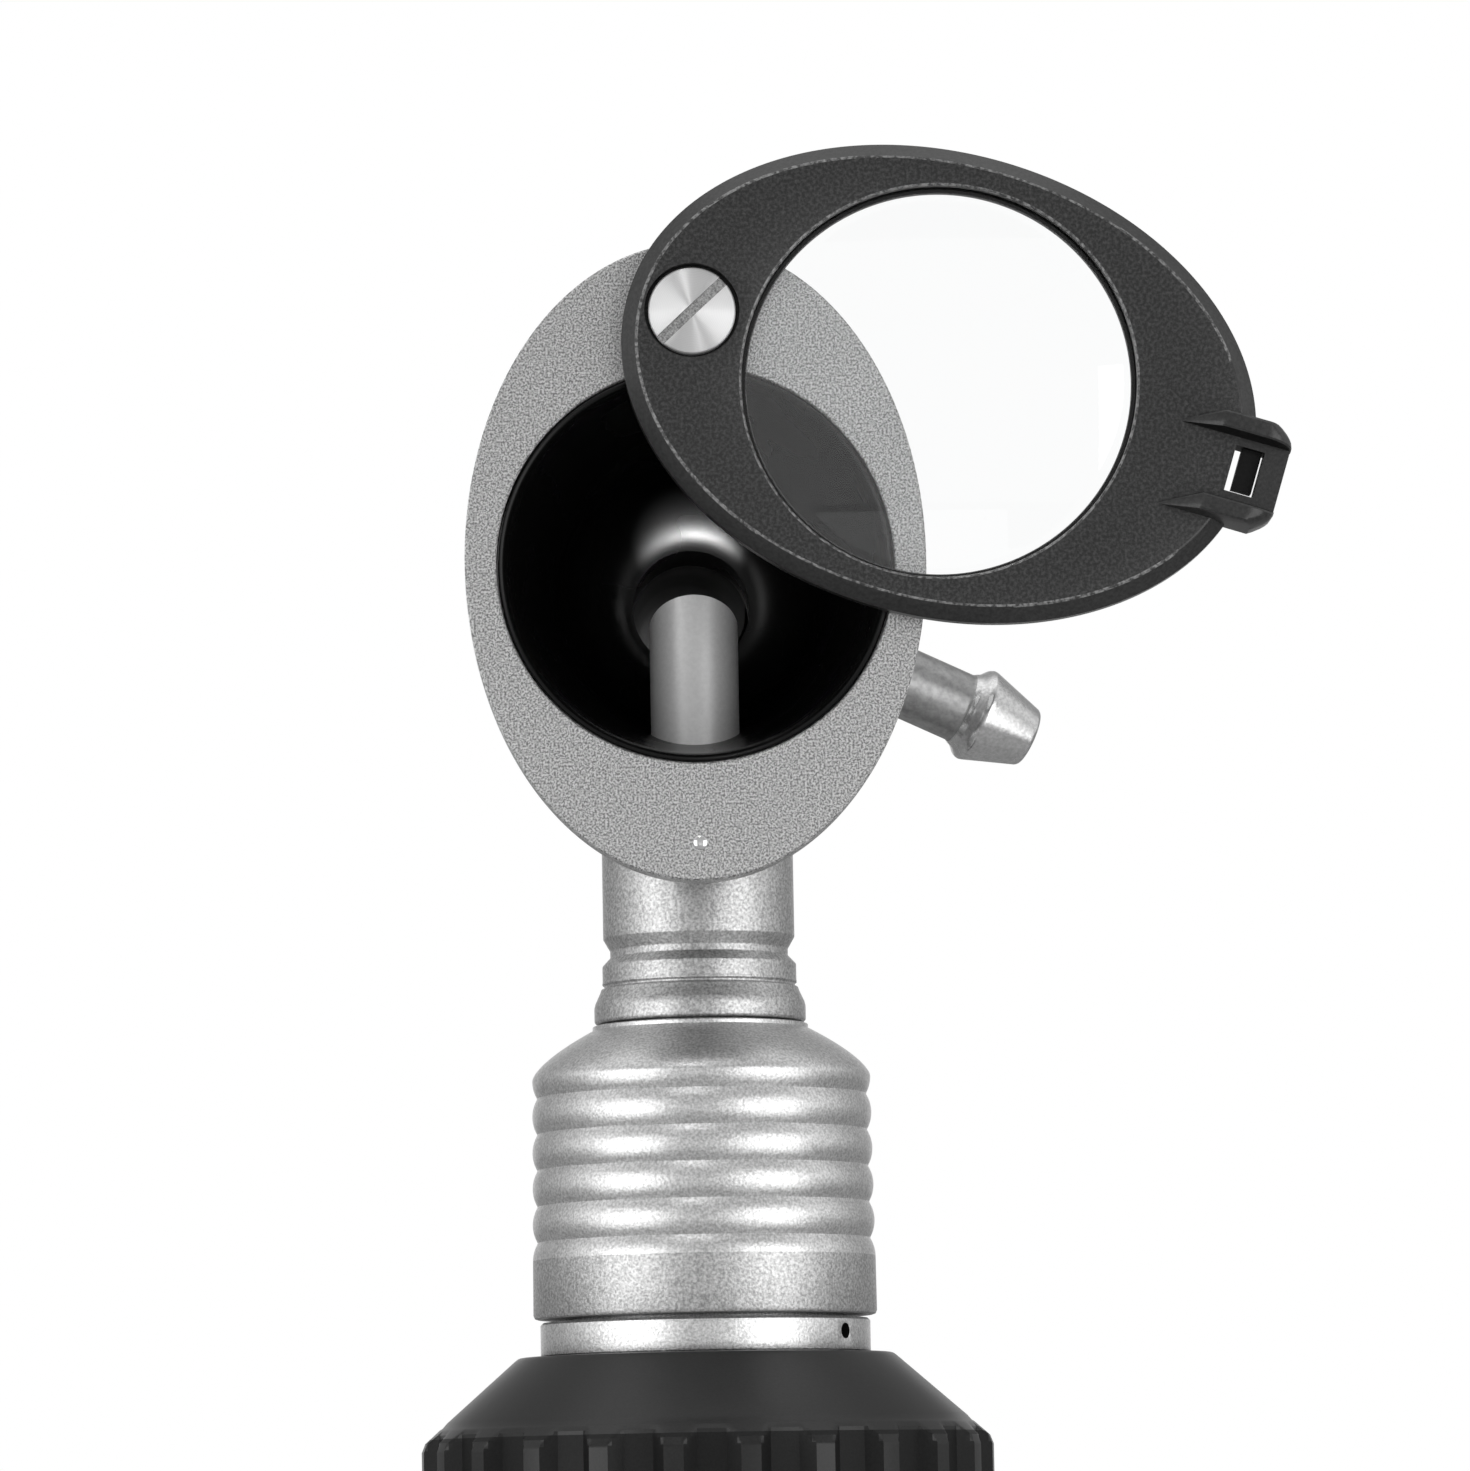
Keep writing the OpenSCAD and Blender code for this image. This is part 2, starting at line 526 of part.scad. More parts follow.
// Ribbed union nut that pulls the head down on to the handle
ribs_top = collar_band_h + rib_count * rib_pitch;
function rib_r(h) = collar_r - 0.02 - 0.01 * (h - collar_band_h)
    - rib_depth * (1 - cos(360 * (h - collar_band_h) / rib_pitch)) / 2;
lip_r = neck_r + 0.7;
function shoulder_r(v) = lip_r + (rib_r(ribs_top) - lip_r) * (1 - pow(v, 1.5));
shoulder_h = collar_h - ribs_top - 0.25;
rib_steps = 10;
module coupling_collar() color("#bebebe") translate([0, 0, collar_z]) difference() {
    turned(concat([[0, 0], [collar_r - 0.25, 0], [collar_r, 0.25]],
        [for (i = [0:rib_count * rib_steps]) let (h = collar_band_h + rib_pitch * i / rib_steps) [rib_r(h), h]],
        [for (i = [1:8]) [shoulder_r(i / 8), ribs_top + shoulder_h * i / 8]],
        [[lip_r, collar_h], [0, collar_h]]));
    translate([0, 0, -1]) cylinder(r = thread_r + run, h = collar_h - lip_h - clip_room_h + 1);
    translate([0, 0, collar_h - lip_h - clip_room_h - 1]) cylinder(r = clip_r + 0.3, h = clip_room_h + 1);
    cylinder(r = spigot_r + run, h = collar_h + 1);
}

// Snap ring in the spigot's groove that keeps the collar on the neck
module collar_clip() color("#8f8f8f") translate([0, 0, neck_z - lip_h - clip_t - 0.35]) difference() {
    cylinder(r = clip_r, h = clip_t);
    translate([0, 0, -1]) cylinder(r = spigot_r - 0.6 + fit, h = clip_t + 2);
    translate([0, -1.2, -1]) cube([clip_r + 1, 2.4, clip_t + 2]);
}

// Metal spigot of the handle: thread for the collar, narrow ring, hub and barrel plug
spigot_top = neck_z - lip_h - clip_room_h - 0.4;
spanner_turn = -34;
module coupling_spigot() color("#b8b8b8") difference() {
    turned([[0, barrel_top - plug_h], [barrel_in_r - fit, barrel_top - plug_h],
        [barrel_in_r - fit, barrel_top - 1], [barrel_r, barrel_top - 1], [barrel_r, barrel_top],
        [hub_step_r, barrel_top], [hub_step_r, hub_step_z], [hub_r, hub_step_z],
        [hub_r, seat_ring_z], [seat_ring_r, seat_ring_z],
        [seat_ring_r, seat_ring_z + seat_ring_h - 0.15], [seat_ring_r - 0.15, seat_ring_z + seat_ring_h],
        [thread_r, seat_ring_z + seat_ring_h], [thread_r, spigot_top - 0.4],
        [thread_r - 0.4, spigot_top], [0, spigot_top]]);
    translate([0, 0, guide_top - 14]) cylinder(r = spigot_r + run, h = spigot_top - guide_top + 15);
    translate([0, 0, barrel_top - plug_h - 1]) cylinder(r = guide_r + fit, h = spigot_top);
    rotate([0, 0, spanner_turn]) translate([seat_ring_r - 1.2, 0, seat_ring_z + seat_ring_h / 2 + 0.1])
        rotate([0, 90, 0]) cylinder(d = spanner_d, h = 3);
    thread_grooves(thread_r, coupling_pitch, seat_ring_z + seat_ring_h + 0.4, spigot_top - 0.4);
}

// Insulating guide in the middle of the spigot, open for the plunger and its spring
spring_room_r = plunger_r + 1.1;
spring_room_h = 12;
spring_floor = guide_top - spring_room_h;
module plunger_guide() color("#8a5a36") difference() {
    turned([[0, barrel_top - plug_h], [guide_r, barrel_top - plug_h], [guide_r, guide_top], [0, guide_top]]);
    translate([0, 0, barrel_top - plug_h - 1]) cylinder(r = plunger_r - 0.6 + run, h = spring_floor - barrel_top + plug_h + 2);
    translate([0, 0, spring_floor]) cylinder(r = spring_room_r, h = guide_top - 1 - spring_floor);
    translate([0, 0, spring_floor]) cylinder(r = plunger_r + run, h = spring_room_h + 1);
}

// Sprung brass plunger that feeds the contact rod
plunger_collar_z = guide_top - 2;
module contact_plunger() color("#c09a4a") turned([[0, spring_floor - spring_room_h / 2],
    [plunger_r - 0.6, spring_floor - spring_room_h / 2],
    [plunger_r - 0.6, plunger_collar_z], [spring_room_r - 0.15, plunger_collar_z],
    [spring_room_r - 0.15, guide_top - 1 - 0.05], [plunger_r, guide_top - 1 - 0.05],
    [plunger_r, plunger_head_z - 0.4], [plunger_r - 0.4, plunger_head_z], [0, plunger_head_z]]);

// Coil spring under the plunger's shoulder
module plunger_spring() color("#9b9b9b") translate([0, 0, spring_floor + 0.1])
    coil(plunger_r - 0.6 + 0.75, plunger_r - 0.6 + 0.75, plunger_collar_z - spring_floor - 0.2, 0.5, 6);

// Black brightness ring: smooth cone, raised ridges, hollow below its web
cone_r = seat_ring_r + 1.4;
ridge_root = PI * valley_r / ridge_count * 0.6;
ridge_top = PI * ring_r / ridge_count * 0.26;
ridges_z = ring_h - cone_h - 0.3;
module ridge() rotate([0, 0, 180 / ridge_count - 90]) linear_extrude(ring_h) polygon([[valley_r - 0.5, -ridge_root],
    [valley_r, -ridge_root], [ring_r + 0.1, -ridge_top], [ring_r + 0.1, ridge_top],
    [valley_r, ridge_root], [valley_r - 0.5, ridge_root]]);
module brightness_ring() color("#1d1d1f") translate([0, 0, ring_z]) difference() {
    union() {
        turned([[0, 0], [valley_r - 0.3, 0], [valley_r, 0.3], [valley_r, ring_h - cone_h - 0.7],
            [valley_r - 0.15, ring_h - cone_h - 0.2], [valley_r - 0.5, ring_h - cone_h + 0.3],
            [cone_r, ring_h - 0.1], [cone_r - 0.2, ring_h], [0, ring_h]]);
        intersection() {
            for (i = [0:ridge_count - 1]) rotate([0, 0, 360 * i / ridge_count]) ridge();
            turned([[valley_r - 0.3, 0.3], [ring_r - 0.4, 0.3], [ring_r, 0.8], [ring_r, ridges_z - 0.9],
                [ring_r - 0.2, ridges_z - 0.4], [valley_r - 0.3, ridges_z + 0.4]]);
        }
    }
    translate([0, 0, -1]) cylinder(r = hub_r + run, h = ring_h + 2);
    turned([[0, -1], [valley_r - ring_wall, -1], [valley_r - ring_wall, ring_h - cone_h - 2],
        [hub_r + 2.4, ring_h - web_t], [0, ring_h - web_t]]);
}

// Thin washer between the hub's step and the ring's web
module friction_washer() color("#7d7d7d") translate([0, 0, hub_step_z]) difference() {
    cylinder(r = hub_step_r + 0.3, h = web_z - hub_step_z - 0.03);
    translate([0, 0, -1]) cylinder(r = hub_r + fit, h = 3);
}

// Fibre former and the resistance wire wound on it
module resistor_former() color("#6d4a2c") translate([0, 0, barrel_top]) difference() {
    cylinder(r = track_r + track_w / 2, h = former_h);
    translate([0, 0, -1]) cylinder(r = track_r - track_w / 2, h = former_h + 2);
}
module resistance_winding() color("#a7a29a") translate([0, 0, barrel_top + former_h])
    rotate([0, 0, wiper_turn + 12]) rotate_extrude(angle = sweep - 2)
        translate([track_r - track_w / 2 + 0.2, 0]) square([track_w - 0.4, winding_t]);

// Brass wiper arm that turns with the ring and sweeps the winding
wiper_z = barrel_top + former_h + winding_t + run;
wiper_x = hub_step_r + 0.5;
wiper_w = 3;
strip_t = 0.4;
module wiper_arm() color("#c7a452") rotate([0, 0, wiper_turn]) translate([wiper_x, -wiper_w / 2, 0]) {
    translate([0, 0, web_z - strip_t]) cube([0.9, wiper_w, strip_t]);
    translate([0, 0, wiper_z]) cube([strip_t, wiper_w, web_z - wiper_z]);
    translate([0, 0, wiper_z]) cube([track_r + 0.4 - wiper_x, wiper_w, strip_t]);
}

// Contact disc on top of the battery stack
module battery_contact() color("#b7b7b0") translate([0, 0, cells_top]) cylinder(r = cell_r - 4, h = contact_t);

// Handle barrel with grip grooves
groove_count = 9;
groove_pitch = 2.4;
groove_z = (cap_h + barrel_top) / 2 + 24;
module barrel() color("#222224") difference() {
    translate([0, 0, cap_h + 0.1]) cylinder(r = barrel_r, h = barrel_top - 1 - 0.05 - cap_h - 0.1);
    translate([0, 0, cap_h - 1]) cylinder(r = barrel_in_r, h = barrel_top);
    for (i = [0:groove_count - 1]) translate([0, 0, groove_z - i * groove_pitch]) rotate_extrude()
        translate([barrel_r + 0.25, 0]) circle(r = 0.65, $fn = 24);
}
module insulating_sleeve() color("#c9c2a6") translate([0, 0, cell_z - 0.3]) difference() {
    cylinder(r = sleeve_r, h = cells_top - cell_z + 0.3);
    translate([0, 0, -1]) cylinder(r = sleeve_r - sleeve_t, h = cells_top);
}

// One dry cell with its raised button
module cell() turned([[0, 0], [cell_r - 0.5, 0], [cell_r, 0.5], [cell_r, cell_len - 2], [cell_r - 0.5, cell_len - 1.5],
    [4.2, cell_len - 1.5], [4, cell_len - eps], [0, cell_len - eps]]);
module battery_upper() color("#4a6a8a") translate([0, 0, cell_z + cell_len]) cell();
module battery_lower() color("#4a6a8a") translate([0, 0, cell_z]) cell();

// Screwed end cap that the handle stands on
cap_floor = 3;
cap_thread_r = barrel_in_r - run;
cap_bore_r = cap_thread_r - 2.6;
module end_cap() color("#bdbdbd") difference() {
    turned([[0, 0], [barrel_r - 1.2, 0], [barrel_r - 0.3, 0.9], [barrel_r, 2], [barrel_r, cap_h - 2.4],
        [barrel_r - 0.4, cap_h - 2], [barrel_r - 0.4, cap_h - 1.4], [barrel_r, cap_h - 1],
        [barrel_r, cap_h], [cap_thread_r, cap_h], [cap_thread_r, cap_h + 0.6], [cap_thread_r - 1.3, cap_h + 0.6],
        [cap_thread_r - 1.3, cap_h + 2.1], [cap_thread_r, cap_h + 2.1],
        [cap_thread_r, cap_h + cap_thread_h - 0.4], [cap_thread_r - 0.4, cap_h + cap_thread_h],
        [0, cap_h + cap_thread_h]]);
    translate([0, 0, cap_floor]) cylinder(r = cap_bore_r, h = cap_h + cap_thread_h);
    thread_grooves(cap_thread_r, cap_pitch, cap_h + 2.2, cap_h + cap_thread_h - 0.2);
}

// Rubber seal in the end cap's groove
seal_wire = 1.3;
module cap_seal_ring() color("#101010") translate([0, 0, cap_h + 1.35]) rotate_extrude()
    translate([cap_thread_r + 0.02 - seal_wire / 2, 0]) circle(d = seal_wire, $fn = 24);

// Conical battery spring on the cap's floor
module battery_spring() color("#a8a8a8") translate([0, 0, cap_floor + fit])
    coil(cap_bore_r - 2, cell_r * 0.4, cell_z - cap_floor - 2 * fit, spring_wire, 5);

rear_plate();
snap_pip();
head_casting();
funnel_liner();
speculum_seat();
neck();
lamp_tube();
lamp_bulb();
lamp_base();
lamp_insulator();
contact_rod();
insufflation_port();
pivot_screw();
spring_washer();
lens_frame();
lens();
lens_ring();
ear_speculum();
coupling_collar();
collar_clip();
coupling_spigot();
plunger_guide();
contact_plunger();
plunger_spring();
brightness_ring();
friction_washer();
resistor_former();
resistance_winding();
wiper_arm();
battery_contact();
barrel();
insulating_sleeve();
battery_upper();
battery_lower();
end_cap();
cap_seal_ring();
battery_spring();
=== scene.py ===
import json
import math
import bmesh
import bpy
import numpy as np
from mathutils import Matrix, Vector


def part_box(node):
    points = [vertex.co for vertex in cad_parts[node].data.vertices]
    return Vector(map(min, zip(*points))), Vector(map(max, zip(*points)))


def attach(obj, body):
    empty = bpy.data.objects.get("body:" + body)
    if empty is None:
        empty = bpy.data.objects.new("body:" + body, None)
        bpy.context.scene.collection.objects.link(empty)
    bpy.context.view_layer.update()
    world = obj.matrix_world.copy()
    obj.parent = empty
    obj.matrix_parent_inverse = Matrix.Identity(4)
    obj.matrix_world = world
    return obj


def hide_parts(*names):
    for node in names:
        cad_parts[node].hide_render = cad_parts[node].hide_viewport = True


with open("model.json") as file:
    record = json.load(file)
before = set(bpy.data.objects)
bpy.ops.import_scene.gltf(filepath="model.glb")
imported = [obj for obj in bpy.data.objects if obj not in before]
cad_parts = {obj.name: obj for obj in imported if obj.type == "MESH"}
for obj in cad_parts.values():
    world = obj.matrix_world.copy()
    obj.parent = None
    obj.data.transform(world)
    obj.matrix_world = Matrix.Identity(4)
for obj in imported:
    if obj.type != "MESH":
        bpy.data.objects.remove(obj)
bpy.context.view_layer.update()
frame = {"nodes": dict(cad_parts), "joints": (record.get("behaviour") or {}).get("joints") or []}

# Studio. A long lens looks up at the head from a little below it, against a plain white ground. Two
# square soft boxes stand left and right of the camera, clear of the floor, so that turned metal shows
# two bright bands with a darker one between them. The floor is only seen from other sides.
scene = bpy.context.scene
scene.view_settings.view_transform = "Standard"
joints = {joint["name"]: joint for joint in frame["joints"]}
plate_low, plate_high = np.array(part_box("rear_plate"))
plate_centre = (plate_low + plate_high) / 2
picture_px, focal_px, sensor = 1471, 6857, 36.0
camera_from_plate = Vector((-0.0064, -0.4003, -0.0546))
pitch, yaw, roll = math.radians(6.53), math.radians(1.25), math.radians(-1.03)
forward = Vector((math.sin(yaw) * math.cos(pitch), math.cos(yaw) * math.cos(pitch), math.sin(pitch)))
level_right = Vector((math.cos(yaw), -math.sin(yaw), 0))
level_up = level_right.cross(forward)
right = math.cos(roll) * level_right + math.sin(roll) * level_up
up = right.cross(forward)
camera = bpy.data.objects.new("camera", bpy.data.cameras.new("camera"))
camera.data.sensor_width = sensor
camera.data.lens = focal_px * sensor / picture_px
camera.data.clip_start = 0.01
camera.data.clip_end = 20
place = Matrix((right, up, -forward)).transposed().to_4x4()
place.translation = Vector((0, 0, plate_centre[2])) + camera_from_plate
camera.matrix_world = place
scene.collection.objects.link(camera)
scene.camera = camera


def soft_box(name, position, target, width, height, radiance):
    """A rectangular lamp of even brightness: its power is radiance times area times pi."""
    lamp = bpy.data.lights.new(name, "AREA")
    lamp.shape = "RECTANGLE"
    lamp.size, lamp.size_y = width, height
    lamp.energy = radiance * width * height * math.pi
    stand = bpy.data.objects.new(name, lamp)
    stand.location = position
    stand.visible_camera = False
    stand.rotation_euler = (Vector(target) - Vector(position)).to_track_quat("-Z", "Y").to_euler()
    scene.collection.objects.link(stand)


head_at = (0, 0, 0.165)
soft_box("left_box", (-0.178, -0.146, 0.155), head_at, 0.19, 0.19, 2.1)
soft_box("right_box", (0.165, -0.160, 0.150), head_at, 0.19, 0.19, 2.1)
soft_box("front_box", (0.0, -0.30, 0.11), head_at, 0.14, 0.12, 0.5)
soft_box("top_box", (0.0, 0.05, 0.80), head_at, 0.6, 0.6, 0.5)
soft_box("small_box", (-0.045, -0.26, 0.50), head_at, 0.03, 0.03, 30.0)


def set_up(node, **values):
    """Sets a node's inputs by name, with _ for a space: to values, or by links from outputs."""
    for name, value in values.items():
        socket = node.inputs[name.replace("_", " ")]
        if isinstance(value, bpy.types.NodeSocket):
            node.id_data.links.new(value, socket)
        else:
            socket.default_value = value
    return node


def new_node(tree, kind, **values):
    """Adds a shader node of a kind to a tree and sets its inputs."""
    return set_up(tree.nodes.new("ShaderNode" + kind), **values)


def tone(colour):
    """A colour with full cover, from its red, green and blue or from one grey."""
    return (*np.broadcast_to(colour, 3), 1)


def by_view(tree, seen_tone):
    """A colour mix that gives seen_tone where the camera or the glass looks straight at a surface, and
    its input A for the light that the surface sends out."""
    ray = new_node(tree, "LightPath")
    seen = new_node(tree, "Math")
    seen.operation = "MAXIMUM"
    tree.links.new(ray.outputs["Is Camera Ray"], seen.inputs[0])
    tree.links.new(ray.outputs["Is Transmission Ray"], seen.inputs[1])
    mix = new_node(tree, "Mix")
    mix.data_type = "RGBA"
    return set_up(mix, B=tone(seen_tone), Factor=seen.outputs[0])


def shaded(name):
    """A new material, its node tree and its shader."""
    material = bpy.data.materials.new(name)
    material.use_nodes = True
    return material, material.node_tree, material.node_tree.nodes["Principled BSDF"]


# The world is white where the camera or the glass looks at the ground behind the object. For the light
# that it gives it is a plain grey, lighter towards the two sides, which the black plastic's edges show.
world = bpy.data.worlds.new("studio")
scene.world = world
world.use_nodes = True
world_tree = world.node_tree
world_tree.nodes.clear()
sky = new_node(world_tree, "TexCoord")
split = new_node(world_tree, "SeparateXYZ", Vector=sky.outputs["Generated"])
half_way = new_node(world_tree, "MapRange", From_Min=-1, From_Max=1, Value=split.outputs["Y"])
surround = new_node(world_tree, "ValToRGB", Fac=half_way.outputs[0])
surround.color_ramp.interpolation = "EASE"
stops = surround.color_ramp.elements
greys = ((0.0, 0.54), (0.12, 0.48), (0.30, 0.54), (0.46, 1.0), (0.56, 1.0), (0.70, 0.45), (0.93, 0.40),
         (0.985, 0.95))
for position, grey in greys[1:-1]:
    stops.new(position)
for stop, (position, grey) in zip(stops, greys):
    stop.position, stop.color = position, tone(grey)
ground_tone = set_up(by_view(world_tree, 1), A=surround.outputs["Color"])
ground = new_node(world_tree, "Background", Strength=1.0, Color=ground_tone.outputs["Result"])
new_node(world_tree, "OutputWorld", Surface=ground.outputs[0])

floor_half = 3.0
floor_mesh = bpy.data.meshes.new("floor")
floor_corners = floor_half * np.array([[-1, -1, 0], [1, -1, 0], [1, 1, 0], [-1, 1, 0]])
floor_mesh.from_pydata(floor_corners, [], [(0, 1, 2, 3)])
floor = bpy.data.objects.new("floor", floor_mesh)
scene.collection.objects.link(floor)
floor_paint, floor_tree, floor_shader = shaded("floor_paint")
floor_tone = set_up(by_view(floor_tree, 0.88), A=tone(0.42))
set_up(floor_shader, Base_Color=floor_tone.outputs["Result"], Roughness=0.9)
floor_mesh.materials.append(floor_paint)

# Rear plate. An oval of aluminium, milled flat, bored for the funnel, fine blasted and clear anodised.
# Its edges are just broken, so they catch a thin bright line.
MM = 0.001
ROUND = 256


def columns(*parts):
    """Joins arrays, or arrays and single numbers, as the last axis of one array."""
    return np.stack(np.broadcast_arrays(*parts), axis=-1)


def quads(count, around, closed):
    """Faces between neighbouring rows of points, and from the last row to the first where closed is true."""
    down = np.arange(count if closed else count - 1)[:, None]
    across = np.arange(around)[None, :]
    below = (down + 1) % count
    beside = (across + 1) % around
    return columns(down * around + across, down * around + beside,
                   below * around + beside, below * around + across).reshape(-1, 4).tolist()


def add_piece(name, rows, material, sharp=28):
    """Joins rows of points into one skin and adds it as a piece.

    rows is an array (rows, points round, 3) in millimetres. Each row is joined to the next, and the
    last to the first. Points that fall together, as at a pole, are merged.
    """
    rows = np.asarray(rows, float)
    mesh = bpy.data.meshes.new(name)
    mesh.from_pydata(rows.reshape(-1, 3) * MM, [], quads(*rows.shape[:2], True))
    return finish_mesh(name, mesh, material, sharp)


def finish_mesh(name, mesh, material, sharp=28):
    """Merges points that meet, turns the faces outwards, smooths all but sharp edges and links the piece."""
    work = bmesh.new()
    work.from_mesh(mesh)
    bmesh.ops.remove_doubles(work, verts=work.verts, dist=2e-7)
    bmesh.ops.dissolve_degenerate(work, edges=work.edges, dist=1e-8)
    bmesh.ops.recalc_face_normals(work, faces=work.faces)
    work.to_mesh(mesh)
    work.free()
    coat(mesh, material, sharp)
    piece = bpy.data.objects.new(name, mesh)
    scene.collection.objects.link(piece)
    return piece


def coat(mesh, material, sharp):
    """Gives a whole mesh one material and smooths it between its sharp edges."""
    mesh.materials.clear()
    mesh.materials.append(material)
    mesh.polygons.foreach_set("material_index", np.zeros(len(mesh.polygons), np.int32))
    mesh.polygons.foreach_set("use_smooth", np.ones(len(mesh.polygons), bool))
    mesh.set_sharp_from_angle(angle=math.radians(sharp))


def second_finish(piece, material, chosen):
    """Gives some faces another material: chosen takes the faces' centres in millimetres, as an array of
    rows x, y, z, and their normals, and returns a mask."""
    mesh = piece.data
    centres, normals = np.empty((2, len(mesh.polygons) * 3))
    mesh.polygons.foreach_get("center", centres)
    mesh.polygons.foreach_get("normal", normals)
    mask = chosen(centres.reshape(-1, 3) / MM, normals.reshape(-1, 3))
    mesh.materials.append(material)
    index = np.empty(len(mesh.polygons), np.int32)
    mesh.polygons.foreach_get("material_index", index)
    index[mask] = len(mesh.materials) - 1
    mesh.polygons.foreach_set("material_index", index)


def stand_for(piece, node, body):
    """The piece rides on its body and is shown in the node's place, which is hidden."""
    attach(piece, body)
    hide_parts(node)


def softened(outline, radius=0.08, steps=3):
    """Replaces each corner of a closed outline by a quadratic curve that starts and ends radius away,
    or at 45% of a side that is short."""
    outline = np.asarray(outline, float)
    before, after = np.roll(outline, 1, axis=0) - outline, np.roll(outline, -1, axis=0) - outline
    reach = [np.minimum(radius / np.maximum(np.linalg.norm(side, axis=1), 1e-9), 0.45)[:, None] * side
             for side in (before, after)]
    t = np.linspace(0, 1, steps + 1)[None, :, None]
    curve = outline[:, None] + (1 - t) ** 2 * reach[0][:, None] + t ** 2 * reach[1][:, None]
    return curve.reshape(-1, 2)


def oval(half_a, half_b, around=ROUND):
    """Points of an ellipse: half_a * cos and half_b * sin of an even angle."""
    angle = np.linspace(0, 2 * np.pi, around, endpoint=False)
    return columns(half_a * np.cos(angle), half_b * np.sin(angle))


def turned(outline, around=ROUND):
    """Turns a closed outline of (radius, height) points about Z: x, y = radius * (cos, sin) of the angle."""
    outline = np.asarray(outline, float)
    radius = np.maximum(outline[:, :1], 0)
    x, y = oval(1, 1, around).T
    return columns(radius * x, radius * y, outline[:, 1:])


def grain_group():
    """Fine even grain of a blasted or moulded skin: two scales of noise give a height for the bump and
    a mask that varies the colour and the roughness."""
    group = bpy.data.node_groups.new("grain", "ShaderNodeTree")
    for label in ("Size", "Depth"):
        group.interface.new_socket(label, in_out="INPUT", socket_type="NodeSocketFloat")
    for label, kind in (("Normal", "Vector"), ("Mask", "Float"), ("Cloud", "Float")):
        group.interface.new_socket(label, in_out="OUTPUT", socket_type="NodeSocket" + kind)
    given, out = group.nodes.new("NodeGroupInput"), group.nodes.new("NodeGroupOutput")
    where = new_node(group, "TexCoord")
    invert = new_node(group, "Math")
    invert.operation = "DIVIDE"
    invert.inputs[0].default_value = 1.0
    group.links.new(given.outputs["Size"], invert.inputs[1])
    fine = new_node(group, "TexNoise", Detail=3.0, Roughness=0.6, Scale=invert.outputs[0],
                    Vector=where.outputs["Object"])
    bump = new_node(group, "Bump", Strength=1.0, Distance=given.outputs["Depth"], Height=fine.outputs["Fac"])
    cloud = new_node(group, "TexNoise", Scale=160.0, Detail=2.0, Vector=where.outputs["Object"])
    set_up(out, Normal=bump.outputs["Normal"], Mask=fine.outputs["Fac"], Cloud=cloud.outputs["Fac"])
    return group


grain = grain_group()


def grained(name, dark, light, rough_low, rough_high, size, depth, metallic=0.0, spread=(0.35, 0.65),
            **constants):
    """A material whose colour runs from dark to light and whose roughness varies with the grain.

    size and depth are the grain's size and height in millimetres.
    """
    material, tree, shader = shaded(name)
    skin = tree.nodes.new("ShaderNodeGroup")
    skin.node_tree = grain
    set_up(skin, Size=size * MM, Depth=depth * MM)
    ramp = new_node(tree, "ValToRGB", Fac=skin.outputs["Mask"])
    for stop, position, colour in zip(ramp.color_ramp.elements, spread, (dark, light)):
        stop.position, stop.color = position, tone(colour)
    rough = new_node(tree, "MapRange", From_Min=0.3, From_Max=0.7, To_Min=rough_low, To_Max=rough_high,
                     Value=skin.outputs["Cloud"])
    set_up(shader, Base_Color=ramp.outputs["Color"], Roughness=rough.outputs[0],
           Normal=skin.outputs["Normal"], Metallic=metallic, **constants)
    return material


plate_a, plate_b = (plate_high - plate_low)[[0, 2]] / 2 / MM
plate_z = plate_centre[2] / MM
plate_rear, plate_front = plate_low[1] / MM, plate_high[1] / MM
opening_r, opening_drop = 11.4, 0.25
edge = 0.09
plate_metal = grained("blasted_plate", 0.20, 0.66, 0.46, 0.54, 0.12, 0.034, metallic=1.0,
                      spread=(0.40, 0.60))


def plate_row(points, drop, depth):
    """One ring of the plate, standing upright: across in X, up in Z, at a depth in Y."""
    return columns(points[:, 0], depth, plate_z - drop + points[:, 1])


hole, wide_hole = oval(opening_r, opening_r), oval(opening_r + edge, opening_r + edge)
rim, narrow_rim = oval(plate_a, plate_b), oval(plate_a - edge, plate_b - edge)
plate_rows = [plate_row(wide_hole, opening_drop, plate_rear),
              plate_row(hole, opening_drop, plate_rear + edge),
              plate_row(hole, opening_drop, plate_front),
              plate_row(narrow_rim, 0, plate_front), plate_row(rim, 0, plate_front - edge),
              plate_row(rim, 0, plate_rear + edge), plate_row(narrow_rim, 0, plate_rear)]
stand_for(add_piece("rear_plate_face", plate_rows, plate_metal), "rear_plate", "head")

# Snap pip. A polished steel pin with a domed end, pressed into the plate below the opening.
# The window's hollow clicks over it.
pip_low, pip_high = np.array(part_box("snap_pip")) / MM
pip_r = (pip_high[0] - pip_low[0]) / 2
pip_h = plate_rear - pip_low[1]
polished = grained("polished_steel", 0.70, 0.80, 0.14, 0.22, 0.3, 0.001, metallic=1.0)


def upright(rows, x, y, z):
    """Turns rows about Z to face the rear: their Z runs to -Y from the point x, y, z."""
    return columns(x + rows[..., 0], y - rows[..., 2], z + rows[..., 1])


dome = np.linspace(0, np.pi / 2, 9)
pip_shank_r, pip_root = pip_r - 0.1, -0.9
pip_outline = np.concatenate([[[0, pip_root], [pip_shank_r, pip_root], [pip_shank_r, 0]],
                              columns(pip_r * np.cos(dome), pip_h * np.sin(dome))])
pip_rows = upright(turned(pip_outline, 48), 0, plate_rear, (pip_low[2] + pip_high[2]) / 2)
stand_for(add_piece("snap_pip_dome", pip_rows, polished), "snap_pip", "head")

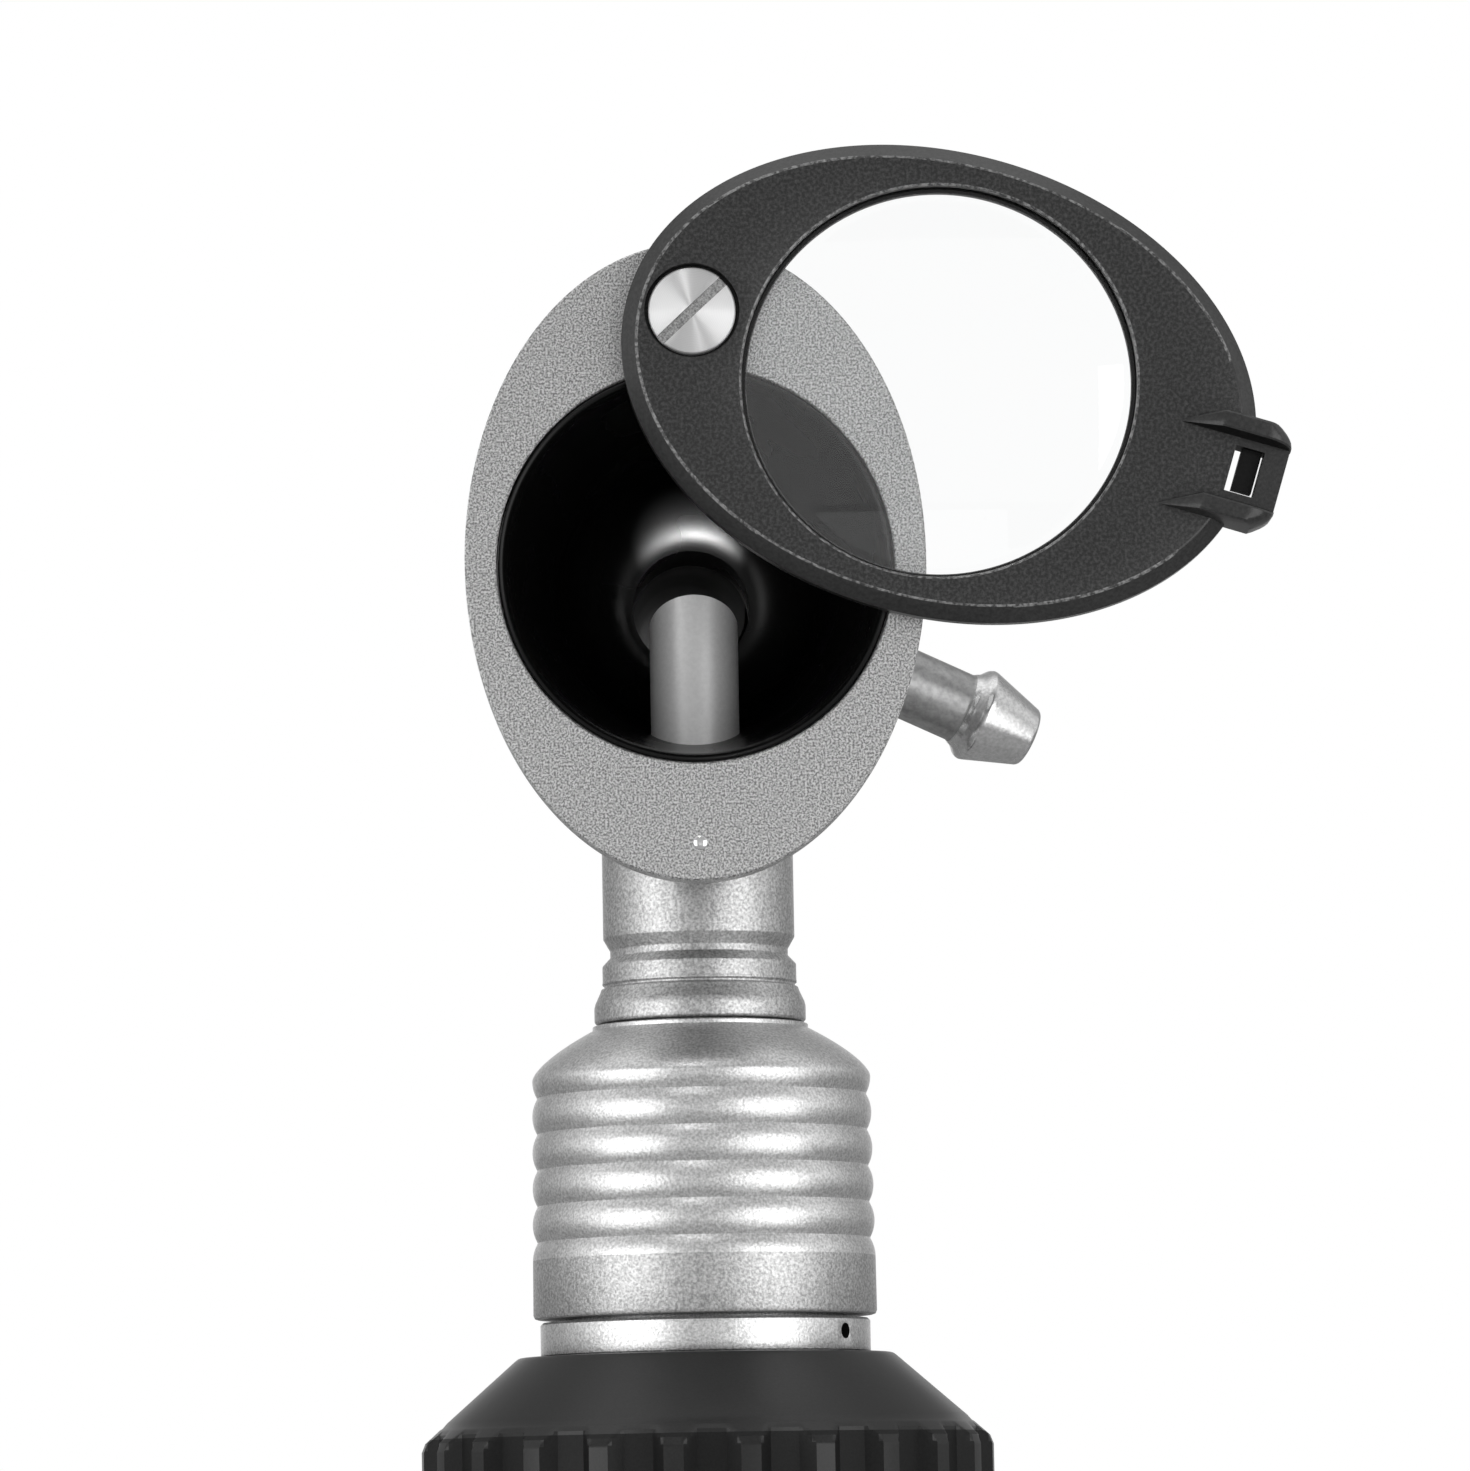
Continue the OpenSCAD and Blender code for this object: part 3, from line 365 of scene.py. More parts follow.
# Funnel liner. Moulded in gloss black, bell shaped, with a rounded mouth that stands just inside the
# plate. The lamp tube comes up through its lower wall.
funnel_axis = np.array(joints["speculum_pull"]["axis"], float)
funnel_tilt = math.asin(funnel_axis[2])
funnel_depth, small_r, fullness = 28.0, 3.5, 1.6
liner_t, mouth_in = 0.6, 0.3
liner_rim_r = opening_r - 0.12
mouth_r = liner_rim_r - liner_t + 0.05
mouth_s = mouth_in + 0.6
liner_end = funnel_depth - 4.5


def funnel_r(s):
    """Inside radius of the funnel at a depth s: full at the mouth, falling by a power curve."""
    share = np.clip((s - mouth_s) / (funnel_depth - mouth_s), 0, 1)
    return small_r + (mouth_r - small_r) * (1 - share ** fullness)


def on_funnel(rows):
    """Lays rows turned about Z along the funnel's axis, which starts at the plate and tilts up a little."""
    x, y, s = rows[..., 0], rows[..., 1], rows[..., 2]
    return columns(x, plate_rear + y * math.sin(funnel_tilt) + s * math.cos(funnel_tilt),
                   plate_z - opening_drop - y * math.cos(funnel_tilt) + s * math.sin(funnel_tilt))


gloss_black = grained("gloss_black", 0.002, 0.003, 0.24, 0.30, 0.4, 0.0006, Specular_IOR_Level=0.22)
bowl_start, bowl_end, bowl_power = 15.5, 19.6, 1.6
bowl_drop, drop_start = 0.72, 8


def bowl_r(share):
    """Inside radius along the end wall: a superellipse of bowl_power from the funnel's curve to the hole."""
    arch = np.maximum(0, 1 - share ** bowl_power) ** (1 / bowl_power)
    return small_r + (funnel_r(bowl_start) - small_r) * arch


def sunk(rows, inner):
    """Bends the first rows, which are the inside, down a little from drop_start on: by bowl_drop at the
    end wall, as a square law."""
    share = np.clip((rows[:inner, :, 2] - drop_start) / (bowl_end - drop_start), 0, 1.3)
    rows[:inner, :, 1] += bowl_drop * share ** 2
    return rows


lip_deep, lip_edge, rim_len = 1.3, 0.06, 2.0
depths = np.linspace(mouth_s, liner_end, 40)[4:]
inside = np.linspace(bowl_start, mouth_in + lip_deep + 0.05, 24)
bowl = np.sin(np.linspace(np.pi / 2, 0, 25))[:-1]
lip = np.linspace(np.pi / 2, 0, 12)
inner_outline = np.concatenate([
    [[small_r, liner_end]],
    columns(bowl_r(bowl), bowl_start + (bowl_end - bowl_start) * bowl),
    columns(funnel_r(inside), inside)])
lip_r = float(funnel_r(inside[-1]))
outer_outline = np.concatenate([
    columns(lip_r + (liner_rim_r - lip_edge - lip_r) * (1 - np.sin(lip)),
            mouth_in + lip_deep * (1 - np.cos(lip)))[1:],
    [[liner_rim_r, mouth_in + lip_edge], [liner_rim_r, mouth_in + rim_len]],
    columns(funnel_r(depths) + liner_t, depths)])
liner_rows = sunk(turned(np.concatenate([inner_outline, outer_outline])), len(inner_outline))


def settle(piece, sharp=28):
    """Applies a piece's modifiers to its mesh, and smooths it again."""
    material = piece.data.materials[0]
    mesh = bpy.data.meshes.new_from_object(piece.evaluated_get(bpy.context.evaluated_depsgraph_get()))
    piece.modifiers.clear()
    piece.data = mesh
    coat(mesh, material, sharp)


def combine(piece, operation, *others):
    """Cuts other pieces out of one, or joins them to it, by exact Booleans, and deletes them."""
    for other in others:
        step = piece.modifiers.new("step", "BOOLEAN")
        step.operation, step.solver, step.object = operation, "EXACT", other
    settle(piece)
    for other in others:
        bpy.data.objects.remove(other)


def rod(radius, low, high):
    """Outline of a plain round rod, for a cutter."""
    return [[0, low], [radius, low], [radius, high], [0, high]]


lamp_tube_r, lamp_room = 2.6, 0.05
funnel_liner = add_piece("funnel_liner_bell", on_funnel(liner_rows), gloss_black, sharp=50)
lamp_hole = turned(rod(lamp_tube_r + lamp_room, plate_z - 16, plate_z - 2), 64)
combine(funnel_liner, "DIFFERENCE", add_piece("lamp_hole", lamp_hole, gloss_black))
stand_for(funnel_liner, "funnel_liner", "head")

# Speculum seat. A black turned ring screwed into the front of the casting, with a tapered outside
# that the speculum is pushed on to, and the end of the funnel's curve inside.
satin_black = grained("satin_black", 0.012, 0.018, 0.34, 0.42, 0.2, 0.002)
shell_t, fit, seat_end_r, seat_len = 1.0, 0.05, 4.9, 7.0
seat_s = liner_end + 1.6
seat_end = seat_s + seat_len
seat_root_r = max(seat_end_r + 0.5, float(funnel_r(seat_s)) + 0.8)
seat_flange_r = float(funnel_r(liner_end)) + liner_t + fit + shell_t
throat = np.linspace(liner_end, funnel_depth, 12)
seat_outline = np.concatenate([
    softened([[seat_flange_r, liner_end], [seat_flange_r, seat_s], [seat_root_r, seat_s],
              [seat_end_r, seat_end], [small_r, seat_end], [small_r, funnel_depth]], 0.25)[1:-4],
    columns(funnel_r(throat), throat)[::-1]])
speculum_seat = add_piece("speculum_seat_cone", on_funnel(turned(seat_outline)), satin_black)
# Painted shade: a darker, rougher black with little shine, laid on the insides of bores and holes and in the
# grip's recesses, where shade falls.
painted_shade_black = grained("painted_shade_black", 0.004, 0.007, 0.5, 0.6, 0.2, 0.004, Specular_IOR_Level=0.16)


def faces_axis(centres, normals):
    """The faces that look inwards at the funnel's axis: they get the painted shade."""
    from_mouth = centres - np.array([0, plate_rear, plate_z - opening_drop])
    outwards = from_mouth - (from_mouth @ funnel_axis)[:, None] * funnel_axis
    return np.einsum("ij,ij->i", outwards, normals) < 0


# Painted shade: the seat's inside is darker than its outside.
second_finish(speculum_seat, painted_shade_black, faces_axis)
stand_for(speculum_seat, "speculum_seat", "head")

# Ear speculum. A slim black moulded cone with a bead round its mouth, pushed on to the seat.
# It is the hygiene part that is changed for each patient.
speculum_black = grained("speculum_black", 0.008, 0.014, 0.26, 0.34, 0.25, 0.002)
run, speculum_wall, tip_r, speculum_len = 0.08, 0.6, 2.0, 36.0
spec_s = seat_s + 0.3
spec_tip = spec_s + speculum_len
spec_bell = seat_end + 1
spec_mouth_r, spec_step_r = seat_root_r + run, seat_end_r + run
spec_waist = spec_bell + (spec_tip - spec_bell) * 0.45
spec_waist_r = tip_r + (spec_step_r - tip_r) * 0.42
speculum_outline = softened(
    [[spec_mouth_r, spec_s], [spec_mouth_r + 1.6, spec_s], [spec_mouth_r + 1.6, spec_s + 1],
     [spec_mouth_r + speculum_wall + 0.2, spec_s + 1.3], [spec_step_r + speculum_wall + 0.2, spec_bell],
     [spec_waist_r + speculum_wall, spec_waist], [tip_r + speculum_wall, spec_tip - 0.3],
     [tip_r + speculum_wall * 0.5, spec_tip], [tip_r, spec_tip], [spec_waist_r, spec_waist],
     [spec_step_r - 0.4, spec_bell], [spec_step_r, seat_end + 0.3]], 0.3, 5)
ear_speculum = add_piece("ear_speculum_cone", on_funnel(turned(speculum_outline)), speculum_black, sharp=40)
# Painted shade: the speculum's inside is darker than its outside.
second_finish(ear_speculum, painted_shade_black, faces_axis)
stand_for(ear_speculum, "ear_speculum", "speculum")

# Head casting. A cast aluminium cone behind the plate, with a boss below for the neck and one at the
# side for the air port, blasted and anodised. Its crossing bosses follow the solid's own surface.
cast_metal = grained("cast_metal", 0.50, 0.66, 0.36, 0.42, 0.18, 0.012, metallic=1.0)


def dressed(node, material, sharp=28, bevel=0.0):
    """A copy of a CAD node's mesh with its points merged, smoothed between sharp edges and, where bevel
    is given in millimetres, with its sharp edges rounded."""
    mesh = frame["nodes"][node].data.copy()
    piece = finish_mesh(node + "_skin", mesh, material, sharp)
    if bevel:
        rounding = piece.modifiers.new("rounding", "BEVEL")
        rounding.width = bevel * MM
        rounding.segments = 2
        rounding.limit_method = "ANGLE"
        rounding.angle_limit = math.radians(40)
        settle(piece, sharp)
    return piece


stand_for(dressed("head_casting", cast_metal), "head_casting", "head")

# Neck. Turned from aluminium bar: a plain column, a waist groove, a narrow band, a fine groove and a
# flared foot that meets the collar. The spigot below the foot carries the collar.
neck_r, neck_bore_r, spigot_len, neck_sink = 5.6, 2.65, 7.6, 14.0
neck_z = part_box("neck")[0][2] / MM + spigot_len
spigot_r = neck_r - 0.3
lip_h, clip_t = 2.6, 0.8
band_metal = grained("band_metal", 0.31, 0.64, 0.40, 0.46, 0.16, 0.020, metallic=1.0)
turned_metal = grained("turned_metal", 0.46, 0.80, 0.33, 0.39, 0.15, 0.018, metallic=1.0)
clip_z, clip_groove_r = -lip_h - 0.3, spigot_r - 0.6
neck_top = plate_z - neck_sink - neck_z
neck_outline = np.array([
    [neck_bore_r, -spigot_len], [spigot_r, -spigot_len], [spigot_r, clip_z - clip_t - 0.1],
    [clip_groove_r, clip_z - clip_t - 0.1], [clip_groove_r, clip_z], [spigot_r, clip_z], [spigot_r, 0],
    [neck_r + 0.45, 0], [neck_r + 0.58, 0.15], [neck_r + 0.58, 0.95], [neck_r + 0.52, 1.2],
    [neck_r + 0.38, 1.5], [neck_r + 0.22, 1.85], [neck_r + 0.16, 2.05], [neck_r - 0.02, 2.1],
    [neck_r - 0.02, 2.25], [neck_r + 0.1, 2.32], [neck_r + 0.07, 2.5], [neck_r + 0.07, 3.4],
    [neck_r - 0.4, 3.9], [neck_r - 0.4, 4.3], [neck_r, 5.0], [neck_r, neck_top], [neck_bore_r, neck_top]])
neck_rows = turned(softened(neck_outline + [0, neck_z], 0.06))
stand_for(add_piece("neck_column", neck_rows, band_metal), "neck", "head")

# Lamp tube. Thin drawn steel tube that stands in the funnel and holds the lamp. Its top is cut at a
# slant, so that the light goes forward and not to the user's eye. A weak spot in it, aimed forwards and
# up, is the lamp's own light, which shows faintly on the funnel.
lamp_drop, lamp_mitre, tube_wall, tube_edge = 0.7, math.radians(33), 0.35, 0.04
lamp_top, tube_foot = plate_z - lamp_drop, neck_z - 1
drawn_steel = grained("drawn_steel", 0.74, 0.80, 0.36, 0.44, 0.25, 0.002, metallic=0.22)


def tube_row(radius, inward):
    """A ring of the tube's cut top: it falls forwards with the tangent of the slant, less a small inset."""
    x, y = oval(radius, radius).T
    return columns(x, y, lamp_top - (y + lamp_tube_r) * math.tan(lamp_mitre) - inward)


tube_in_r = lamp_tube_r - tube_wall
tube_ends = turned([[lamp_tube_r, tube_foot], [tube_in_r, tube_foot]])
tube_rows = np.stack([
    tube_ends[1], tube_ends[0], tube_row(lamp_tube_r, tube_edge), tube_row(lamp_tube_r - tube_edge, 0),
    tube_row(tube_in_r + tube_edge, 0), tube_row(tube_in_r, tube_edge)])
stand_for(add_piece("lamp_tube_drawn", tube_rows, drawn_steel), "lamp_tube", "head")
lamp_back, lamp_deep, lamp_lift = 1.0, 0.8, math.radians(33)
lamp_light = bpy.data.lights.new("lamp_light", "SPOT")
lamp_light.energy = 0.0045
lamp_light.shadow_soft_size = 0.0002
lamp_light.spot_size = math.radians(44)
lamp_light.spot_blend = 1.0
lamp_stand = bpy.data.objects.new("lamp_light", lamp_light)
lamp_stand.location = (0, -lamp_back * MM, (lamp_top - lamp_deep) * MM)
lamp_stand.rotation_euler = (math.radians(90) + lamp_lift, 0, 0)
lamp_stand.visible_camera = False
scene.collection.objects.link(lamp_stand)

# Insufflation port. A turned nipple with a shoulder and a tapered barb for the rubber air tube, bored
# through and screwed into the casting's side boss.
port_turn, port_lean = math.radians(90 + 22.8), math.radians(14)
port_s, port_y, port_reach, stem_r, barb_r, bore_r = 14.0, 2, 22.4, 2.1, 2.85, 1.0
port_seat = float(funnel_r(port_s)) + liner_t + shell_t + 1.2
port_z = plate_z - opening_drop + port_s * math.sin(funnel_tilt)
barb_s = port_reach - 3.4
port_root_r = stem_r - 0.4


def on_port(rows):
    """Lays rows turned about Z along the port's axis: swung down from level, then leaned to the front."""
    out = rows[..., 0] * math.cos(port_turn) + rows[..., 2] * math.sin(port_turn)
    height = -rows[..., 0] * math.sin(port_turn) + rows[..., 2] * math.cos(port_turn)
    side = rows[..., 1]
    return columns(out * math.cos(port_lean) - side * math.sin(port_lean),
                   port_y + out * math.sin(port_lean) + side * math.cos(port_lean),
                   height + port_z)


port_outline = softened([
    [bore_r, port_seat - 0.8], [port_root_r, port_seat - 0.8], [port_root_r, port_seat],
    [stem_r + 0.7, port_seat], [stem_r + 0.7, port_seat + 0.8], [stem_r, port_seat + 0.8],
    [stem_r, barb_s - 1.2], [stem_r + 0.14, barb_s - 0.98], [stem_r + 0.22, barb_s - 0.78],
    [barb_r - 0.12, barb_s - 0.4], [barb_r, barb_s - 0.12], [barb_r - 0.03, barb_s + 0.08],
    [stem_r - 0.3, port_reach - 0.15], [stem_r - 0.45, port_reach], [bore_r, port_reach]], 0.1, 4)
port_metal = grained("port_metal", 0.50, 0.66, 0.24, 0.30, 0.2, 0.006, metallic=1.0)
air_port = add_piece("air_port_nipple", on_port(turned(port_outline, 128)), port_metal, sharp=40)
# The stem gets a rougher metal, and its darker colour is a painted shadow of the plate and lens frame.
rough_stem_and_shadow = grained("rough_stem_and_shadow", 0.30, 0.42, 0.38, 0.48, 0.4, 0.006, metallic=1.0)


def on_stem(centres, normals):
    """The stem between the casting's boss and the barb, by the distance along the port's axis: it gets the
    rougher metal with the painted shadow.
    """
    level = centres[:, 0] * math.cos(port_lean) + (centres[:, 1] - port_y) * math.sin(port_lean)
    return level * math.sin(port_turn) + (centres[:, 2] - port_z) * math.cos(port_turn) < barb_s - 1.1


second_finish(air_port, rough_stem_and_shadow, on_stem)
stand_for(air_port, "insufflation_port", "head")

# Lens frame. Moulded in matt black plastic with a fine spark-etched grain: an oval ring with a
# bevelled rim, two grip ribs at its far end with a small window between them, and a sunk seat for the
# screw. It turns on that screw.
pivot = np.array(joints["window_swivel"]["pos_m"]) / MM
swung = math.radians(90) - math.radians(joints["window_swivel"]["range_deg"][1])
frame_t, frame_gap, lens_off = 1.9, 0.3, 14.7
frame_a, frame_b, frame_bevel, lens_hole_r = 18.5, 13.4, 0.85, 11.3
lens_r = lens_hole_r + 0.3
screw_head_r, head_room, head_t, head_sink = 2.5, 0.22, 0.9, 0.05


def on_pivot(rows):
    """Lays rows on the swung-open window: X along it from the pivot, Z out of its face to the user."""
    x, y, z = rows[..., 0], rows[..., 1], rows[..., 2]
    return columns(pivot[0] + x * math.cos(swung) + y * math.sin(swung), pivot[1] - z,
                   pivot[2] - x * math.sin(swung) + y * math.cos(swung))


etched_black = grained("etched_black", 0.006, 0.052, 0.42, 0.52, 0.20, 0.018, spread=(0.42, 0.74))
plain_black = grained("plain_black", 0.010, 0.026, 0.30, 0.36, 0.20, 0.006)
# Painted highlight: a lighter grey for the thin bright line along the bevel's inner edge and round the lens's
# hole.
painted_edge_highlight = grained("painted_edge_highlight", 0.03, 0.22, 0.30, 0.40, 0.25, 0.010, spread=(0.40, 0.62))


def frame_row(half_a, half_b, height):
    """One ring of the frame round the lens: an ellipse or a circle about the lens's centre."""
    x, y = oval(half_a, half_b).T
    return columns(lens_off + x, y, height)


hole_rows = [(lens_hole_r, 1.35), (lens_hole_r, frame_t - 0.15), (lens_hole_r + 0.05, frame_t - 0.05),
             (lens_hole_r + 0.15, frame_t)]
rim_rows = [(frame_bevel + 0.10, frame_t), (frame_bevel + 0.03, frame_t - 0.015),
            (frame_bevel - 0.03, frame_t - 0.05), (frame_bevel - 0.08, frame_t - 0.10),
            (0.06, frame_t - 0.86), (0, frame_t - 0.95), (0, 0.1), (0.1, 0)]
frame_rows = ([frame_row(r, r, z) for r, z in hole_rows]
              + [frame_row(frame_a - inset, frame_b - inset, z) for inset, z in rim_rows]
              + [frame_row(r, r, z) for r, z in ((lens_r + 0.05, 0), (lens_r + 0.05, 1.35))])
lens_frame = add_piece("lens_frame_moulding", on_pivot(np.array(frame_rows)), etched_black)

grip_w, grip_h, rib_w, nose_r, grip_drop = 6.3, 1.3, 1.35, 1.5, 0.25
grip_start, grip_end = lens_off + frame_a - 4.8, lens_off + frame_a + 1.9
window_x, window_l, window_w = grip_end - 3.1, 1.7, 2.7
rib_lean, rib_point_l, rib_corner_l, rib_corner_fall = 0.11, 2.2, 1.8, 1.45


def rib_outline():
    """Side view of a grip rib: a short ramp out of the face, a level top and a round nose."""
    nose = np.linspace(np.pi / 2, 0, 9)
    curve = columns(grip_end - nose_r + nose_r * np.cos(nose),
                    frame_t + grip_h - nose_r + nose_r * np.sin(nose))
    return np.concatenate([[[grip_start, 0.3], [grip_start, frame_t - 0.1],
                            [grip_start + 2.6, frame_t + grip_h]], curve, [[grip_end, 0.05]]])


def rib_rows(side):
    """Slices of a rib across its width.

    The lower edge is straight. The upper edge starts on it in a point and widens to the full width over
    rib_point_l, and the outer end corner falls back. The walls lean in a little towards the top.
    """
    outline = softened(rib_outline(), 0.16, 3)
    low = side * (grip_w - rib_w) / 2 - rib_w / 2 - grip_drop
    rise = np.clip((outline[:, 1] - frame_t) / grip_h, 0, 1)
    widen = np.clip((outline[:, 0] - grip_start) / rib_point_l, 0.04, 1)
    across = np.array([0, 0.05, 0.15, 0.35, 0.5, 0.65, 0.85, 0.95, 1])[:, None]
    rounding = np.array([0.20, 0.08, 0.01, 0, 0, 0, 0.01, 0.08, 0.20])[:, None]
    lean = rib_lean * rise * rib_w * (1 - 2 * across)
    outer = np.maximum(0, (across if side > 0 else 1 - across) - 0.15)
    corner = np.clip((outline[:, 0] - grip_end + rib_corner_l) / rib_corner_l, 0, 1)
    return columns(outline[:, 0] - corner * rib_corner_fall * outer ** 1.7,
                   low + across * rib_w * widen + lean,
                   outline[:, 1] - np.where(rise > 0, rounding, 0))


def capped(name, rows, material):
    """A skin between its first and last slice, each closed by one face."""
    count, around = rows.shape[:2]
    ends = [list(range(around))[::-1], list(range((count - 1) * around, count * around))]
    mesh = bpy.data.meshes.new(name)
    mesh.from_pydata(rows.reshape(-1, 3) * MM, [], quads(count, around, False) + ends)
    return finish_mesh(name, mesh, material)


def slab(name, x, y, z, material):
    """A plain block on the window between pairs of x, y and z, for the grip's floor and for cutters."""
    corners = [[[x[i], y[j], height] for i, j in ((0, 0), (1, 0), (1, 1), (0, 1))] for height in z]
    return capped(name, on_pivot(np.array(corners, float)), material)


floor_half_w, window_half_w = grip_w / 2 - 1.1, window_w / 2
grip_floor = slab("grip_floor", (grip_start + 1.5, grip_end - 0.05),
                  (-floor_half_w - grip_drop, floor_half_w - grip_drop), (0, frame_t), etched_black)
combine(lens_frame, "UNION", grip_floor,
        *[capped("rib", on_pivot(rib_rows(side)), etched_black) for side in (-1, 1)])
head_room_outline = rod(screw_head_r + head_room, frame_t - 0.98, frame_t + 1)
combine(lens_frame, "DIFFERENCE",
        add_piece("head_room", on_pivot(turned(head_room_outline, 96)), etched_black),
        add_piece("shank_room", on_pivot(turned(rod(1.48, -1, frame_t + 1), 64)), etched_black),
        slab("grip_window", (window_x, window_x + window_l),
             (-window_half_w - grip_drop, window_half_w - grip_drop), (-1, frame_t + 3), etched_black))
combine(lens_frame, "UNION",
        slab("snap_tongue", (window_x + 0.4, window_x + window_l - 0.13),
             (0.3 - window_half_w - grip_drop, window_half_w + 0.1 - grip_drop), (0.3, 1.3), etched_black))


def from_pivot(centres, angle):
    """Places seen from the pivot: along and across a line swung down by an angle, and height towards the
    user."""
    x, y, z = (centres - pivot).T
    return x * math.cos(angle) - z * math.sin(angle), x * math.sin(angle) + z * math.cos(angle), -y


def plain_parts(centres, normals):
    """The frame's bevel and the grip's ribs: faces outside the face's ellipse, or above the face."""
    along, across, height = from_pivot(centres, swung)
    face_a, face_b = frame_a - frame_bevel - 0.09, frame_b - frame_bevel - 0.09
    return (((along - lens_off) / face_a) ** 2 + (across / face_b) ** 2 > 1) | (height > frame_t + 0.02)


def painted_highlight_line(centres, normals):
    """The narrow rounding along the inner edge of the frame's bevel, and the one round the lens's hole, where
    a painted highlight goes.
    """
    along, across, height = from_pivot(centres, swung)
    along = along - lens_off
    inset, edge_depth = frame_bevel + 0.02, 0.16
    oval_share = np.sqrt((along / (frame_a - inset)) ** 2 + (across / (frame_b - inset)) ** 2)
    rim = np.abs(oval_share - 1) * frame_b < 0.075
    hole = (np.hypot(along, across) < lens_hole_r + 0.16) & (height > frame_t - edge_depth)
    return (rim | hole) & (height < frame_t + 0.001) & (height > frame_t - edge_depth) & (
        along + lens_off < grip_start + 2)


def in_grip_shade(centres, normals):
    """The inner walls of the grip's ribs, the walls of its window and the tongue in it: they get the painted
    shade.
    """
    along, across, height = from_pivot(centres, swung)
    across = across + grip_drop
    sideways = normals[:, 0] * math.sin(swung) + normals[:, 2] * math.cos(swung)
    inner_wall = (across * sideways < 0) & (np.abs(sideways) > 0.6) & (np.abs(across) < grip_w / 2) & (
        height > 0.3)
    tongue = (np.abs(across) < window_half_w + 0.01) & (height > 0) & (height < frame_t - 0.05) & (
        along > window_x - 0.01) & (along < window_x + window_l + 0.01)
    return (along > grip_start) & (inner_wall | tongue)


second_finish(lens_frame, plain_black, plain_parts)
# Painted highlight along the bevel's inner edge and round the lens's hole.
second_finish(lens_frame, painted_edge_highlight, painted_highlight_line)
# Painted shade in the grip's recesses: the ribs' inner walls, the window and the tongue.
second_finish(lens_frame, painted_shade_black, in_grip_shade)
stand_for(lens_frame, "lens_frame", "window")

# Lens and its snap ring. A glass magnifier, bulged more on the user's side, in a rebate behind the
# frame's lip, held by a black plastic ring.
lens_glass, _, glass = shaded("lens_glass")
set_up(glass, Base_Color=(0.985, 0.99, 0.99, 1), Roughness=0.0, IOR=1.5, Transmission_Weight=1.0)
bulge_r, keeper_t, lens_edge_t, bulge_out, bulge_in = lens_hole_r - 0.4, 0.5, 0.8, 0.9, 0.3
share = np.linspace(0, 1, 24)
lens_outline = np.concatenate([
    columns(bulge_r * share, keeper_t - bulge_in * (1 - share ** 2)),
    [[lens_r, keeper_t], [lens_r, keeper_t + lens_edge_t]],
    columns(bulge_r * share, keeper_t + lens_edge_t + bulge_out * (1 - share ** 2))[::-1]])
from_lens = [lens_off, 0, 0]
lens = add_piece("lens_glass_disc", on_pivot(turned(lens_outline) + from_lens), lens_glass, sharp=40)
stand_for(lens, "lens", "window")
keeper_in_r = lens_r - 0.6
keeper = turned(softened([[keeper_in_r, 0], [lens_r, 0], [lens_r, keeper_t], [keeper_in_r, keeper_t]], 0.06))
keeper_rows = on_pivot(keeper + from_lens)
stand_for(add_piece("lens_snap_ring", keeper_rows, satin_black), "lens_ring", "window")

# Pivot screw. A slotted shoulder screw, faced on the lathe, so that its head shows fine rings that
# spread the light in a fan.
screw_face, screw_tree, screw_shader = shaded("screw_face")
where = new_node(screw_tree, "TexCoord")
centre = new_node(screw_tree, "Mapping", Vector=where.outputs["Object"],
                  Location=(-pivot[0] * MM, 0, -pivot[2] * MM))
rings = new_node(screw_tree, "TexWave", Scale=3300.0, Distortion=2.0, Detail=1.0, Vector=centre.outputs[0])
rings.wave_type, rings.rings_direction = "RINGS", "Y"
ring_bump = new_node(screw_tree, "Bump", Distance=0.0004 * MM, Height=rings.outputs["Fac"])
ring_tone = new_node(screw_tree, "ValToRGB", Fac=rings.outputs["Fac"])
for stop, grey in zip(ring_tone.color_ramp.elements, (0.92, 0.97)):
    stop.color = tone(grey)
around_axis = new_node(screw_tree, "Tangent")
around_axis.direction_type, around_axis.axis = "RADIAL", "Y"
set_up(screw_shader, Base_Color=ring_tone.outputs["Color"], Metallic=1.0, Roughness=0.42,
       Anisotropic=0.99, Anisotropic_Rotation=0.25, Normal=ring_bump.outputs["Normal"],
       Tangent=around_axis.outputs["Tangent"])
slot_w, slot_turn, slot_depth = 0.6, math.radians(42.7), 0.5
screw_r, head_top, crown_h = 1.4, frame_t - head_sink, 0.13
head_root, shank_end = head_top - head_t, plate_rear - plate_front - frame_gap + 0.2
shank_outline = softened([[0, shank_end], [screw_r, shank_end], [screw_r, head_root],
                          [screw_head_r, head_root], [screw_head_r, head_top - 0.12]], 0.09)[:-4]
crown = np.linspace(screw_head_r - 0.07, 0, 14)
screw_outline = np.concatenate([shank_outline, [[screw_head_r, head_top - 0.2]],
                                columns(crown, head_top - crown_h * (crown / screw_head_r) ** 2)])
pivot_screw = add_piece("pivot_screw_head", upright(turned(screw_outline), *pivot), screw_face)
slot_points = np.array([[-3, -slot_w / 2], [3, -slot_w / 2], [3, slot_w / 2], [-3, slot_w / 2]])
spin = np.array([[math.cos(slot_turn), math.sin(slot_turn)], [-math.sin(slot_turn), math.cos(slot_turn)]])
slot_rows = columns(*(slot_points @ spin).T, [[head_top - slot_depth], [head_top + 1]])
combine(pivot_screw, "DIFFERENCE", capped("driver_slot", upright(slot_rows, *pivot), screw_face))
# The slot is sawn, not faced, so it is rougher and scratched; its darker colour is partly painted shade in
# the recess.
slot_finish_and_shade = grained("slot_finish_and_shade", 0.24, 0.66, 0.40, 0.55, 0.10, 0.01, metallic=1.0)


